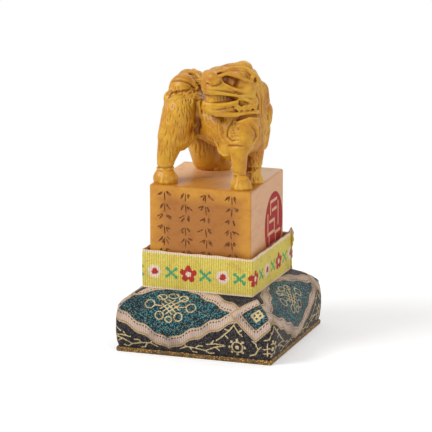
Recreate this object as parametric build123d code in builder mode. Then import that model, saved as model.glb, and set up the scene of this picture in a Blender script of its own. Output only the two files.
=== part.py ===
from build123d import *
from math import asin, cos, degrees, radians, sin
import os

os.makedirs("parts", exist_ok=True)

# A square stone seal with a carved guardian lion as its knop, standing in a small ribbon-bound
# tray on a padded brocade plinth. Millimetres, +Z up, the front of the plinth facing -Y, and the
# origin on the table under the middle of the plinth.

# Base board with its woven metallic edging and paper underside
BOARD_SIDE = 68.5
BOARD_THICK = 1.4
EDGING_THICK = 0.35
EDGING_TOP_WIDTH = 6.6
EDGING_FOOT_WIDTH = 5.6

# Padded brocade plinth
BROCADE_THICK = 0.7
PLINTH_FOOT = 68.4
PLINTH_RISE = 24.2
PLINTH_CROWN = 0.5
HEM_WIDTH = 6.2
TOP_FLAP_WIDTH = 10.6
WADDING_GAP = 0.15
CORE_SIDE = 48.0
CORE_CARD = 1.2

# Tray of card, bound with a woven ribbon
TRAY_CENTRE_X = -1.1
TRAY_CENTRE_Y = -0.35
TRAY_TURN = -0.9
TRAY_CARD = 0.8
TRAY_FLOOR_THICK = 1.2
LINING_THICK = 0.2
FLOOR_LINING_THICK = 0.25
RIBBON_THICK = 0.45
RIBBON_WIDTH = 16.5
RIBBON_ABOVE_CARD = 0.4
RIBBON_CORNER = 0.6
RIBBON_GAP = 0.05
LAP_LENGTH = 9.0
LAP_REACH = 1.3
LAP_TIP_RISE = 2.4

# Seal stone
BLOCK_SIDE = 45.0
BLOCK_HEIGHT = 43.15
BLOCK_CORNER = 0.8
BLOCK_BEVEL = 0.6
SEAL_TURN = 0.6
SEAL_CLEARANCE = 0.27
FRET_DEPTH = 0.8
FRET_RIM = 2.4
FRET_BAR = 2.2
OVAL_WIDTH = 25.0
OVAL_HEIGHT = 28.0
OVAL_DEPTH = 0.4
OVAL_SHIFT = 8.9
OVAL_DROP = 21.0
OVAL_BAR = 0.9
PASTE_THICK = 0.3

# Lion knop, one stone with the block
KNOP_WIDTH = 45.0
KNOP_DEPTH = 45.0
KNOP_HEIGHT = 52.0
TRUNK_RADIUS = 10.3
HEAD_LENGTH = 25.0
HEAD_WIDTH = 18.0
HEAD_HEIGHT = 22.0
SKULL_RADIUS = 8.6
HEAD_TURN = 227.0

# One run past a face serves every cut and trimmed end
OVERRUN = 2.0

# Derived heights, from the table upwards
BOARD_TOP = EDGING_THICK + BOARD_THICK
PLINTH_BASE = BOARD_TOP + EDGING_THICK
PLINTH_TOP = PLINTH_BASE + PLINTH_RISE
CORE_TOP = PLINTH_TOP - BROCADE_THICK
TRAY_FLOOR_TOP = PLINTH_TOP + TRAY_FLOOR_THICK
TRAY_CARD_TOP = PLINTH_TOP + RIBBON_WIDTH - RIBBON_ABOVE_CARD
SEAL_FOOT = TRAY_FLOOR_TOP + FLOOR_LINING_THICK

# Derived half widths of the tray, from the seal outwards
slack_turn = radians(SEAL_TURN - TRAY_TURN)
LINING_HALF = BLOCK_SIDE / 2 * (cos(slack_turn) + sin(slack_turn)) + SEAL_CLEARANCE
CARD_HALF = LINING_HALF + LINING_THICK
CARD_OUTER_HALF = CARD_HALF + TRAY_CARD
RIBBON_HALF = CARD_OUTER_HALF + RIBBON_GAP + RIBBON_THICK

# Section of the padding: how far out from the neck to the foot, how far up, and which way the
# surface faces there, in degrees above level
NECK_HALF = CORE_SIDE / 2 + WADDING_GAP * 4
FOOT_SPREAD = PLINTH_FOOT / 2 - NECK_HALF
OUTLINE_SHARES = [
    (1.00, 0.000, 0.0),
    (1.10, 0.350, 0.0),
    (1.04, 0.682, 6.0),
    (1.01, 0.736, 35.0),
    (0.90, 0.764, 55.0),
    (0.53, 0.900, 57.0),
    (0.11, 0.986, 65.0),
    (0.00, 1.000, 90.0),
]

SIDES = ("front", "right", "back", "left")
SIDE_TURNS = {"front": 0.0, "right": 90.0, "back": 180.0, "left": 270.0}

# Each lump of the lion swells from one ball to another: the place of each end as shares of the
# knop's width, depth and height, and its radius as a share of the trunk's
LION_LUMP_SHARES = {
    "pelvis": ((-0.23, 0.12, 0.49, 1.00), (-0.24, -0.09, 0.56, 0.87)),
    "barrel": ((-0.20, 0.07, 0.52, 1.00), (0.27, -0.13, 0.41, 1.03)),
    "chest": ((0.29, -0.12, 0.52, 0.90), (0.24, -0.20, 0.31, 0.66)),
    "near_haunch": ((-0.30, -0.21, 0.56, 0.68), (-0.32, -0.27, 0.37, 0.62)),
    "near_hock": ((-0.34, -0.29, 0.36, 0.55), (-0.39, -0.33, 0.19, 0.37)),
    "near_shin": ((-0.39, -0.33, 0.20, 0.37), (-0.39, -0.35, 0.08, 0.36)),
    "near_hind_paw": ((-0.40, -0.36, 0.07, 0.42), (-0.35, -0.37, 0.065, 0.41)),
    "far_haunch": ((-0.23, 0.22, 0.54, 0.73), (-0.24, 0.27, 0.33, 0.66)),
    "far_hock": ((-0.23, 0.28, 0.30, 0.66), (-0.15, 0.32, 0.10, 0.58)),
    "far_hind_paw": ((-0.18, 0.34, 0.07, 0.47), (-0.08, 0.35, 0.065, 0.45)),
    "rump": ((-0.32, -0.03, 0.73, 0.68), (-0.30, -0.02, 0.62, 0.76)),
    "tail": ((-0.32, 0.06, 0.79, 0.49), (-0.23, 0.07, 0.78, 0.46)),
    "tail_tip": ((-0.22, 0.03, 0.82, 0.25), (-0.15, -0.02, 0.78, 0.19)),
    "hair_tuft": ((-0.43, -0.12, 0.66, 0.25), (-0.41, -0.16, 0.58, 0.28)),
    "near_shoulder": ((0.36, -0.23, 0.52, 0.59), (0.33, -0.28, 0.35, 0.53)),
    "near_arm": ((0.32, -0.31, 0.35, 0.39), (0.34, -0.36, 0.14, 0.30)),
    "near_fore_paw": ((0.36, -0.38, 0.07, 0.42), (0.38, -0.40, 0.06, 0.41)),
    "far_arm": ((0.39, -0.03, 0.35, 0.44), (0.39, -0.09, 0.13, 0.38)),
    "far_fore_paw": ((0.38, -0.10, 0.07, 0.43), (0.39, -0.14, 0.06, 0.41)),
    "far_shoulder": ((0.20, 0.08, 0.50, 0.63), (0.30, 0.03, 0.33, 0.52)),
    "neck": ((0.30, -0.08, 0.69, 0.83), (0.30, -0.10, 0.52, 0.87)),
    "mane_crown": ((0.26, 0.01, 0.83, 0.61), (0.31, 0.00, 0.71, 0.67)),
    "mane_nape": ((0.39, 0.04, 0.73, 0.45), (0.39, 0.07, 0.64, 0.45)),
    "mane_middle": ((0.40, 0.11, 0.55, 0.44), (0.40, 0.10, 0.49, 0.44)),
    "mane_low": ((0.39, 0.09, 0.40, 0.43), (0.38, 0.06, 0.34, 0.41)),
    "mane_back": ((0.15, 0.08, 0.73, 0.49), (0.12, 0.10, 0.60, 0.52)),
}

# The head's lumps: forward, to the side and up as shares of the head's length, width and height
# from its middle, and the radius as a share of the skull's. A pair has its twin on the other side.
HEAD_PLACE_SHARE = (0.22, -0.21, 0.77)
HEAD_LUMP_SHARES = {
    "skull": ((-0.11, 0.00, 0.10, 1.00), (0.10, 0.00, 0.08, 0.91)),
    "snout": ((0.16, 0.00, 0.22, 0.67), (0.37, 0.00, 0.22, 0.60)),
    "nose": ((0.39, 0.13, 0.33, 0.41), (0.39, -0.13, 0.33, 0.41)),
    "crest": ((-0.23, 0.00, 0.37, 0.47), (0.06, 0.00, 0.40, 0.41)),
}
HEAD_PAIR_SHARES = {
    "lip": ((0.15, 0.23, 0.11, 0.34), (0.44, 0.14, 0.12, 0.31)),
    "brow": ((-0.05, 0.30, 0.36, 0.30), (0.22, 0.20, 0.39, 0.28)),
    "cheek": ((-0.11, 0.28, 0.01, 0.56), (0.08, 0.28, -0.05, 0.44)),
    "jaw": ((-0.12, 0.21, -0.27, 0.45), (0.39, 0.14, -0.30, 0.38)),
    "beard": ((-0.25, 0.33, -0.15, 0.42), (-0.10, 0.37, -0.32, 0.37)),
    "ear": ((-0.18, 0.36, 0.29, 0.22), (-0.27, 0.39, 0.39, 0.15)),
}

# Bars of the key fret left standing on the working face, for one quarter of the field: middle of
# the bar and its length across and along, as shares of the field
FRET_BAR_SHARES = [
    (0.25, 0.43, 0.36, 0.00),
    (0.43, 0.27, 0.00, 0.32),
    (0.29, 0.11, 0.28, 0.00),
    (0.15, 0.20, 0.00, 0.18),
    (0.22, 0.29, 0.14, 0.00),
]

# Bars of the meander left standing in the oval: middle, width and height as shares of the oval
OVAL_BAR_SHARES = [
    (0.00, 0.36, 0.34, 0.00),
    (-0.17, 0.27, 0.00, 0.18),
    (0.04, 0.22, 0.22, 0.00),
    (0.25, 0.12, 0.00, 0.34),
    (-0.32, 0.06, 0.00, 0.24),
    (-0.11, 0.06, 0.22, 0.00),
    (0.04, -0.02, 0.00, 0.16),
    (-0.14, -0.12, 0.36, 0.00),
    (0.22, -0.16, 0.28, 0.00),
    (-0.25, -0.22, 0.00, 0.20),
    (0.10, -0.27, 0.00, 0.22),
    (-0.09, -0.32, 0.22, 0.00),
]


def turned_plane(turn, height):
    """A level plane on the tray's centre line at a height, turned about the upright axis."""
    heading = (cos(radians(turn)), sin(radians(turn)), 0)
    return Plane(origin=(TRAY_CENTRE_X, TRAY_CENTRE_Y, height), x_dir=heading, z_dir=(0, 0, 1))


def side_plane(side, run):
    """An upright section plane across one side of the plinth, with x out of the side, z up in
    its y, standing a distance along the side from its middle."""
    turn = radians(SIDE_TURNS[side])
    along = Vector(cos(turn), sin(turn), 0)
    outward = Vector(sin(turn), -cos(turn), 0)
    return Plane(origin=along * run, x_dir=outward, z_dir=-along)


def padding_points(inset, crown):
    """The padding's section, foot to neck, moved in by an inset and out by a crown."""
    points = []
    for out_share, up_share, facing in OUTLINE_SHARES:
        bulge = crown * out_share
        out = NECK_HALF + FOOT_SPREAD * out_share + bulge - inset * cos(radians(facing))
        up = PLINTH_BASE + PLINTH_RISE * up_share - inset * sin(radians(facing))
        points.append((out, up))
    return points


def mitre(piece_side):
    """Trims the part being built to its own quarter of the plinth."""
    turn = SIDE_TURNS[piece_side]
    for lean in (-135, -45):
        angle = radians(turn + lean)
        split(bisect_by=Plane((0, 0, 0), z_dir=(cos(angle), sin(angle), 0)), keep=Keep.TOP)


def swelling(start, end, start_radius, end_radius):
    """A lump that swells from one ball to another, as one turned solid."""
    span = (end - start).length
    lean = degrees(asin((start_radius - end_radius) / span))
    with BuildPart() as lump:
        with BuildSketch(Plane.XZ):
            with BuildLine():
                foot = CenterArc((0, 0), start_radius, -90, 90 + lean)
                tip = CenterArc((0, span), end_radius, lean, 90 - lean)
                Line(foot @ 1, tip @ 0)
                Line(tip @ 1, foot @ 0)
            make_face()
        revolve(axis=Axis.Z)
    return lump.part.moved(Plane(origin=start, z_dir=(end - start).normalized()).location)


def lion_lump(ends):
    """One lump of the lion's body, on the middle of the block's top."""
    places = [Vector(x * KNOP_WIDTH, y * KNOP_DEPTH, z * KNOP_HEIGHT) for x, y, z, _ in ends]
    return swelling(*places, ends[0][3] * TRUNK_RADIUS, ends[1][3] * TRUNK_RADIUS)


def head_lump(ends, hand):
    """One lump of the head, on the hand side of its middle line."""
    places = [
        Vector(ahead * HEAD_LENGTH, aside * hand * HEAD_WIDTH, up * HEAD_HEIGHT)
        for ahead, aside, up, _ in ends
    ]
    lump = swelling(*places, ends[0][3] * SKULL_RADIUS, ends[1][3] * SKULL_RADIUS)
    x, y, z = HEAD_PLACE_SHARE
    middle = (x * KNOP_WIDTH, y * KNOP_DEPTH, z * KNOP_HEIGHT)
    return lump.moved(Location(middle, (0, 0, HEAD_TURN)))


def oval_field():
    """The oval with the meander's bars left out of it, on the sketch being drawn."""
    Ellipse(OVAL_WIDTH / 2, OVAL_HEIGHT / 2)
    for across, up, width, height in OVAL_BAR_SHARES:
        with Locations((across * OVAL_WIDTH, up * OVAL_HEIGHT)):
            bar_size = (width * OVAL_WIDTH + OVAL_BAR, height * OVAL_HEIGHT + OVAL_BAR)
            Rectangle(*bar_size, mode=Mode.SUBTRACT)


def finish(part, label):
    """Labels a finished piece and writes it."""
    part.label = label
    export_step(part, f"parts/{label}.step")


seal_top = turned_plane(SEAL_TURN, SEAL_FOOT + BLOCK_HEIGHT)
oval_plane = Plane(
    origin=seal_top.from_local_coords((BLOCK_SIDE / 2, OVAL_SHIFT, -OVAL_DROP)),
    x_dir=seal_top.y_dir,
    z_dir=seal_top.x_dir,
)

# Seal stone: the block, its fretted working face, the oval recess and the lion
with BuildPart() as seal_stone:
    with BuildSketch(turned_plane(SEAL_TURN, SEAL_FOOT)):
        RectangleRounded(BLOCK_SIDE, BLOCK_SIDE, BLOCK_CORNER)
    extrude(amount=BLOCK_HEIGHT)
    chamfer(seal_stone.faces().sort_by(Axis.Z)[-1].edges(), BLOCK_BEVEL)
    field = BLOCK_SIDE - 2 * FRET_RIM
    with BuildSketch(turned_plane(SEAL_TURN, SEAL_FOOT)):
        Rectangle(field, field)
        for quarter in range(4):
            for across, along, width, height in FRET_BAR_SHARES:
                spot = Vector(across * field, along * field).rotate(Axis.Z, 90 * quarter)
                with Locations(Location(spot, (0, 0, 90 * quarter))):
                    bar_size = (width * field + FRET_BAR, height * field + FRET_BAR)
                    Rectangle(*bar_size, mode=Mode.SUBTRACT)
    extrude(amount=FRET_DEPTH, mode=Mode.SUBTRACT)
    with BuildSketch(oval_plane):
        oval_field()
    extrude(amount=-OVAL_DEPTH, mode=Mode.SUBTRACT)
    for ends in LION_LUMP_SHARES.values():
        add(lion_lump(ends).moved(seal_top.location), clean=False)
    for ends in HEAD_LUMP_SHARES.values():
        add(head_lump(ends, 1).moved(seal_top.location), clean=False)
    for ends in HEAD_PAIR_SHARES.values():
        for hand in (1, -1):
            add(head_lump(ends, hand).moved(seal_top.location), clean=False)
finish(seal_stone.part, "seal_stone")

# Red paste rubbed into the oval round the meander
with BuildPart() as oval_cinnabar_fill:
    with BuildSketch(oval_plane.offset(-OVAL_DEPTH)):
        oval_field()
    extrude(amount=PASTE_THICK)
finish(oval_cinnabar_fill.part, "oval_cinnabar_fill")

# Tray floor and its lining
with BuildPart() as tray_floor:
    with BuildSketch(turned_plane(TRAY_TURN, PLINTH_TOP)):
        Rectangle(2 * CARD_HALF, 2 * CARD_HALF)
    extrude(amount=TRAY_FLOOR_THICK)
finish(tray_floor.part, "tray_floor")

with BuildPart() as tray_floor_lining:
    with BuildSketch(turned_plane(TRAY_TURN, TRAY_FLOOR_TOP)):
        Rectangle(2 * LINING_HALF, 2 * LINING_HALF)
    extrude(amount=FLOOR_LINING_THICK)
finish(tray_floor_lining.part, "tray_floor_lining")

with BuildPart() as tray_wall_lining:
    with BuildSketch(turned_plane(TRAY_TURN, TRAY_FLOOR_TOP)):
        Rectangle(2 * CARD_HALF, 2 * CARD_HALF)
        Rectangle(2 * LINING_HALF, 2 * LINING_HALF, mode=Mode.SUBTRACT)
    extrude(amount=TRAY_CARD_TOP - TRAY_FLOOR_TOP)
finish(tray_wall_lining.part, "tray_wall_lining")

# Tray walls: front and back run to the corners, left and right stand between them
for side in SIDES:
    half_run = CARD_OUTER_HALF if side in ("front", "back") else CARD_HALF
    with BuildPart() as tray_wall:
        with BuildSketch(turned_plane(TRAY_TURN + SIDE_TURNS[side], PLINTH_TOP)):
            with Locations((0, -(CARD_HALF + TRAY_CARD / 2))):
                Rectangle(2 * half_run, TRAY_CARD)
        extrude(amount=TRAY_CARD_TOP - PLINTH_TOP)
    finish(tray_wall.part, f"tray_wall_{side}")

# Ribbon round the tray, with its lapped end at the back right corner
with BuildPart() as ribbon_band:
    with BuildSketch(turned_plane(TRAY_TURN, PLINTH_TOP)):
        RectangleRounded(2 * RIBBON_HALF, 2 * RIBBON_HALF, RIBBON_CORNER)
        inner = 2 * (RIBBON_HALF - RIBBON_THICK)
        RectangleRounded(inner, inner, RIBBON_CORNER - RIBBON_THICK, mode=Mode.SUBTRACT)
    extrude(amount=RIBBON_WIDTH)
    tray_foot = turned_plane(TRAY_TURN, PLINTH_TOP)
    lap_plane = Plane(
        origin=tray_foot.from_local_coords((RIBBON_HALF, RIBBON_HALF, 0)),
        x_dir=tray_foot.x_dir,
        z_dir=-tray_foot.y_dir,
    )
    with BuildSketch(lap_plane):
        with BuildLine():
            Polyline(
                (-LAP_LENGTH, 0),
                (LAP_REACH * 0.3, 0),
                (LAP_REACH, RIBBON_WIDTH * 0.8),
                (-LAP_REACH * 0.2, RIBBON_WIDTH + LAP_TIP_RISE),
                (-LAP_REACH * 1.5, RIBBON_WIDTH),
                (-LAP_LENGTH, RIBBON_WIDTH),
                close=True,
            )
        make_face()
    extrude(amount=-RIBBON_THICK)
finish(ribbon_band.part, "ribbon_band")

# Brocade covers: a folded strip with a hem under it and a flap under the tray, mitred at the hips
for side in SIDES:
    with BuildPart() as brocade:
        reach = PLINTH_FOOT / 2 + OVERRUN
        for run, crown in ((-reach, 0), (0, PLINTH_CROWN), (reach, 0)):
            outer = padding_points(0, crown)
            inner = padding_points(BROCADE_THICK, crown)
            hem_top = PLINTH_BASE + BROCADE_THICK
            inner[0] = (inner[0][0], hem_top)
            hem_end = PLINTH_FOOT / 2 - HEM_WIDTH
            flap_end = NECK_HALF - TOP_FLAP_WIDTH
            with BuildSketch(side_plane(side, run)):
                with BuildLine():
                    for line in (outer, inner):
                        ThreePointArc(line[0], line[1], line[2])
                        ThreePointArc(line[2], line[3], line[4])
                        ThreePointArc(line[4], line[5], line[6])
                        Line(line[6], line[7])
                    Polyline(
                        outer[7], (flap_end, PLINTH_TOP), (flap_end, CORE_TOP), inner[7]
                    )
                    Polyline(
                        inner[0], (hem_end, hem_top), (hem_end, PLINTH_BASE), outer[0]
                    )
                make_face()
        loft()
        mitre(side)
    finish(brocade.part, f"brocade_{side}")

# Cotton wadding under each cover, against the core
for side in SIDES:
    with BuildPart() as wadding:
        reach = PLINTH_FOOT / 2 + OVERRUN
        foot_height = PLINTH_BASE + BROCADE_THICK + WADDING_GAP
        for run, crown in ((-reach, 0), (0, PLINTH_CROWN), (reach, 0)):
            edge = padding_points(BROCADE_THICK + WADDING_GAP, crown)
            edge[0] = (edge[0][0], foot_height)
            with BuildSketch(side_plane(side, run)):
                with BuildLine():
                    ThreePointArc(edge[0], edge[1], edge[2])
                    ThreePointArc(edge[2], edge[3], edge[4])
                    ThreePointArc(edge[4], edge[5], edge[6])
                    Polyline(
                        edge[6], (CORE_SIDE / 2, edge[6][1]), (CORE_SIDE / 2, foot_height), edge[0]
                    )
                make_face()
        loft()
        mitre(side)
    finish(wadding.part, f"wadding_{side}")

# Card core: four walls on the base board under a top board that carries the tray
core_wall_top = CORE_TOP - CORE_CARD
for side in SIDES:
    half_run = CORE_SIDE / 2 if side in ("front", "back") else CORE_SIDE / 2 - CORE_CARD
    with BuildPart() as core_wall:
        with BuildSketch(Plane.XY.offset(BOARD_TOP).rotated((0, 0, SIDE_TURNS[side]))):
            with Locations((0, -(CORE_SIDE - CORE_CARD) / 2)):
                Rectangle(2 * half_run, CORE_CARD)
        extrude(amount=core_wall_top - BOARD_TOP)
    finish(core_wall.part, f"core_wall_{side}")

with BuildPart() as core_top_board:
    with BuildSketch(Plane.XY.offset(core_wall_top)):
        Rectangle(CORE_SIDE, CORE_SIDE)
    extrude(amount=CORE_CARD)
finish(core_top_board.part, "core_top_board")

# Base board, the edging folded round its rim and the paper between the edging's lower flanges
with BuildPart() as base_board:
    with BuildSketch(Plane.XY.offset(EDGING_THICK)):
        Rectangle(BOARD_SIDE, BOARD_SIDE)
    extrude(amount=BOARD_THICK)
finish(base_board.part, "base_board")

with BuildPart() as gold_edging:
    edging_side = BOARD_SIDE + 2 * EDGING_THICK
    with BuildSketch():
        Rectangle(edging_side, edging_side)
    extrude(amount=PLINTH_BASE)
    with BuildSketch(Plane.XY.offset(EDGING_THICK)):
        Rectangle(BOARD_SIDE, BOARD_SIDE)
    extrude(amount=BOARD_THICK, mode=Mode.SUBTRACT)
    with BuildSketch(Plane.XY.offset(BOARD_TOP)):
        top_hole = edging_side - 2 * EDGING_TOP_WIDTH
        Rectangle(top_hole, top_hole)
    extrude(amount=EDGING_THICK, mode=Mode.SUBTRACT)
    with BuildSketch():
        foot_hole = edging_side - 2 * EDGING_FOOT_WIDTH
        Rectangle(foot_hole, foot_hole)
    extrude(amount=EDGING_THICK, mode=Mode.SUBTRACT)
finish(gold_edging.part, "gold_edging")

with BuildPart() as underside_paper:
    with BuildSketch():
        Rectangle(foot_hole, foot_hole)
    extrude(amount=EDGING_THICK)
finish(underside_paper.part, "underside_paper")

print("inner half of the tray", round(LINING_HALF, 3), "ribbon half", round(RIBBON_HALF, 3))
print("top of the block", round(SEAL_FOOT + BLOCK_HEIGHT, 3))
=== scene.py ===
"""Dresses a carved seal stamp, its ribbon-bound tray and its brocade plinth around the CAD frame."""

import logging
from dataclasses import dataclass
from enum import Enum
from math import cos, floor, hypot, pi, radians, sin
from typing import Callable, Iterable, Sequence

import bpy
import numpy as np
from mathutils import Matrix, Vector
from mathutils.bvhtree import BVHTree
from mathutils.kdtree import KDTree


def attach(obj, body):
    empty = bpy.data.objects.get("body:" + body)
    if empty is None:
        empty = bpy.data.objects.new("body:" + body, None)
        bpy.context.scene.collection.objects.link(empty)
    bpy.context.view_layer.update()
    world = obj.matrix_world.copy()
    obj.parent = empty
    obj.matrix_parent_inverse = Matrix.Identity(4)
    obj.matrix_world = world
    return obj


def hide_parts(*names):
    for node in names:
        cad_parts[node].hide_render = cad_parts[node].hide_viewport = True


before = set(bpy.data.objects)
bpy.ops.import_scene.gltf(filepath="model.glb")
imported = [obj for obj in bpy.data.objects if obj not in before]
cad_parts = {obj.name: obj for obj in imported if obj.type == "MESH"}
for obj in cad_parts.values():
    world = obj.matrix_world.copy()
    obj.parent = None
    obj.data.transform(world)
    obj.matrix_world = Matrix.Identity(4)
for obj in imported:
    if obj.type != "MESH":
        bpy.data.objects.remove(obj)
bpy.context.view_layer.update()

LOG = logging.getLogger("seal_stamp")
MM = 0.001

Piece = bpy.types.Object
Material = bpy.types.Material
Array = np.ndarray
Spot = tuple[float, float]
Point = tuple[float, float, float]
Bead = tuple[float, float, float, float]  # a place and a radius
Colour = tuple[float, float, float]


def srgb(red: float, green: float, blue: float) -> Colour:
    """A colour as the eye reads it, 0 to 255, in the linear values that shaders take."""
    shares = (red / 255, green / 255, blue / 255)
    return tuple(c / 12.92 if c <= 0.04045 else ((c + 0.055) / 1.055) ** 2.4 for c in shares)


class Tools:
    """Modelling steps done with Blender's own operators."""

    @classmethod
    def only(cls, piece: Piece, *others: Piece) -> None:
        """Selects these pieces alone.

        Args:
            piece: The one that becomes active.
            others: The rest.
        """
        cls.clear()
        for one in (piece, *others):
            one.select_set(True)
        bpy.context.view_layer.objects.active = piece

    @staticmethod
    def clear() -> None:
        """Leaves nothing selected."""
        for other in bpy.context.selected_objects:
            other.select_set(False)

    @classmethod
    def named(cls, name: str) -> Piece:
        """Takes the piece that was just added.

        Args:
            name: Its name.

        Returns:
            The piece.
        """
        piece = bpy.context.active_object
        piece.name = name
        piece.data.name = name
        return piece

    @classmethod
    def modifier(cls, piece: Piece, kind: str, **settings: object) -> None:
        """Adds a modifier, sets it and applies it.

        Args:
            piece: What is changed.
            kind: Blender's name of the modifier's type.
            settings: The modifier's properties.
        """
        cls.only(piece)
        step = piece.modifiers.new(kind, kind)
        for key, value in settings.items():
            setattr(step, key, value)
        bpy.ops.object.modifier_apply(modifier=step.name)

    @classmethod
    def joined(cls, pieces: Sequence[Piece], name: str) -> Piece:
        """Joins pieces into the first one, under a name.

        Args:
            pieces: What is joined.
            name: The whole's name.

        Returns:
            The whole.
        """
        cls.only(pieces[0], *pieces[1:])
        if len(pieces) > 1:
            bpy.ops.object.join()
        return cls.named(name)

    @classmethod
    def closed(cls, piece: Piece, merge: float = 0.00001) -> None:
        """Merges doubled vertices and turns every face outwards.

        Args:
            piece: What is closed.
            merge: How near doubled vertices lie, in metres.
        """
        cls.only(piece)
        bpy.ops.object.mode_set(mode="EDIT")
        bpy.ops.mesh.select_all(action="SELECT")
        bpy.ops.mesh.remove_doubles(threshold=merge)
        bpy.ops.mesh.normals_make_consistent(inside=False)
        bpy.ops.object.mode_set(mode="OBJECT")

    @classmethod
    def smooth(cls, piece: Piece, degrees: float) -> None:
        """Shades the piece smooth over every edge flatter than an angle."""
        cls.only(piece)
        bpy.ops.object.shade_smooth_by_angle(angle=radians(degrees))

    @staticmethod
    def places(piece: Piece) -> Array:
        """The piece's vertex places, one row each."""
        flat = np.empty(len(piece.data.vertices) * 3)
        piece.data.vertices.foreach_get("co", flat)
        return flat.reshape(-1, 3)

    @staticmethod
    def facings(piece: Piece) -> Array:
        """The piece's vertex normals, one row each."""
        flat = np.empty(len(piece.data.vertices) * 3)
        piece.data.vertices.foreach_get("normal", flat)
        return flat.reshape(-1, 3)

    @staticmethod
    def move_to(piece: Piece, places: Array) -> None:
        """Moves every vertex to a new place."""
        piece.data.vertices.foreach_set("co", places.ravel())
        piece.data.update()

    @staticmethod
    def dressed(piece: Piece, material: Material) -> None:
        """Gives the piece one finish in place of any that it has."""
        piece.data.materials.clear()
        piece.data.materials.append(material)

    @staticmethod
    def copied(piece: Piece) -> Piece:
        """Copies a piece with its mesh.

        Args:
            piece: What is copied.

        Returns:
            The copy, with a mesh of its own.
        """
        copy = piece.copy()
        copy.data = piece.data.copy()
        bpy.context.scene.collection.objects.link(copy)
        return copy

    @classmethod
    def grid(cls, name: str, columns: int, rows: int) -> tuple[Piece, Array, Array]:
        """Adds a flat grid that a strip or a skin starts from.

        Args:
            name: Its name.
            columns: Faces along it.
            rows: Faces up it.

        Returns:
            The grid, and how far along and up it each vertex lies, from 0 to 1.
        """
        cls.clear()
        bpy.ops.mesh.primitive_grid_add(x_subdivisions=columns, y_subdivisions=rows, size=2)
        piece = cls.named(name)
        spots = cls.places(piece)
        return piece, (spots[:, 0] + 1) / 2, (spots[:, 1] + 1) / 2

    @staticmethod
    def map_cloth(piece: Piece, flat: Array) -> None:
        """Stores each vertex's place on the cloth laid flat, in millimetres.

        Args:
            piece: The piece of cloth.
            flat: Along and up the flat cloth, one row for each vertex.
        """
        while piece.data.uv_layers:
            piece.data.uv_layers.remove(piece.data.uv_layers[0])
        layer = piece.data.uv_layers.new(name=CLOTH_MAP)
        corners = np.empty(len(piece.data.loops), dtype=np.int64)
        piece.data.loops.foreach_get("vertex_index", corners)
        layer.data.foreach_set("uv", flat[corners].astype(np.float32).ravel())

    @staticmethod
    def attribute(piece: Piece, name: str, values: Array) -> None:
        """Stores one number per vertex under a name that a finish reads.

        Args:
            piece: Where it is stored.
            name: The name.
            values: A number for each vertex.
        """
        data = piece.data.attributes.get(name)
        if data is None:
            data = piece.data.attributes.new(name, "FLOAT", "POINT")
        data.data.foreach_set("value", np.ascontiguousarray(values, dtype=np.float32))


class Signal:
    """A value inside a finish's node tree, worked on with Python's operators."""

    def __init__(self, bench: "Bench", socket: bpy.types.NodeSocket) -> None:
        """Wraps a socket of a node tree."""
        self.bench = bench
        self.socket = socket

    def _math(self, operation: str, *values: object) -> "Signal":
        """Adds one Math node on these values."""
        return self.bench.node("Math", {"operation": operation}, dict(enumerate(values)))

    def __add__(self, other: object) -> "Signal":
        """The sum."""
        return self._math("ADD", self, other)

    __radd__ = __add__

    def __sub__(self, other: object) -> "Signal":
        """The difference."""
        return self._math("SUBTRACT", self, other)

    def __rsub__(self, other: object) -> "Signal":
        """The difference, the other way round."""
        return self._math("SUBTRACT", other, self)

    def __mul__(self, other: object) -> "Signal":
        """The product."""
        return self._math("MULTIPLY", self, other)

    __rmul__ = __mul__

    def __truediv__(self, other: object) -> "Signal":
        """The quotient."""
        return self._math("DIVIDE", self, other)

    def __abs__(self) -> "Signal":
        """The size without its sign."""
        return self._math("ABSOLUTE", self)

    def sine(self) -> "Signal":
        """The sine."""
        return self._math("SINE", self)

    def most(self, other: object) -> "Signal":
        """The larger of two."""
        return self._math("MAXIMUM", self, other)

    def rise(self, low: float, high: float) -> "Signal":
        """A soft step from 0 at one value to 1 at another."""
        settings = {"interpolation_type": "SMOOTHSTEP", "clamp": True}
        values = {"Value": self, "From Min": low, "From Max": high, "To Min": 0.0, "To Max": 1.0}
        return self.bench.node("MapRange", settings, values)


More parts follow.
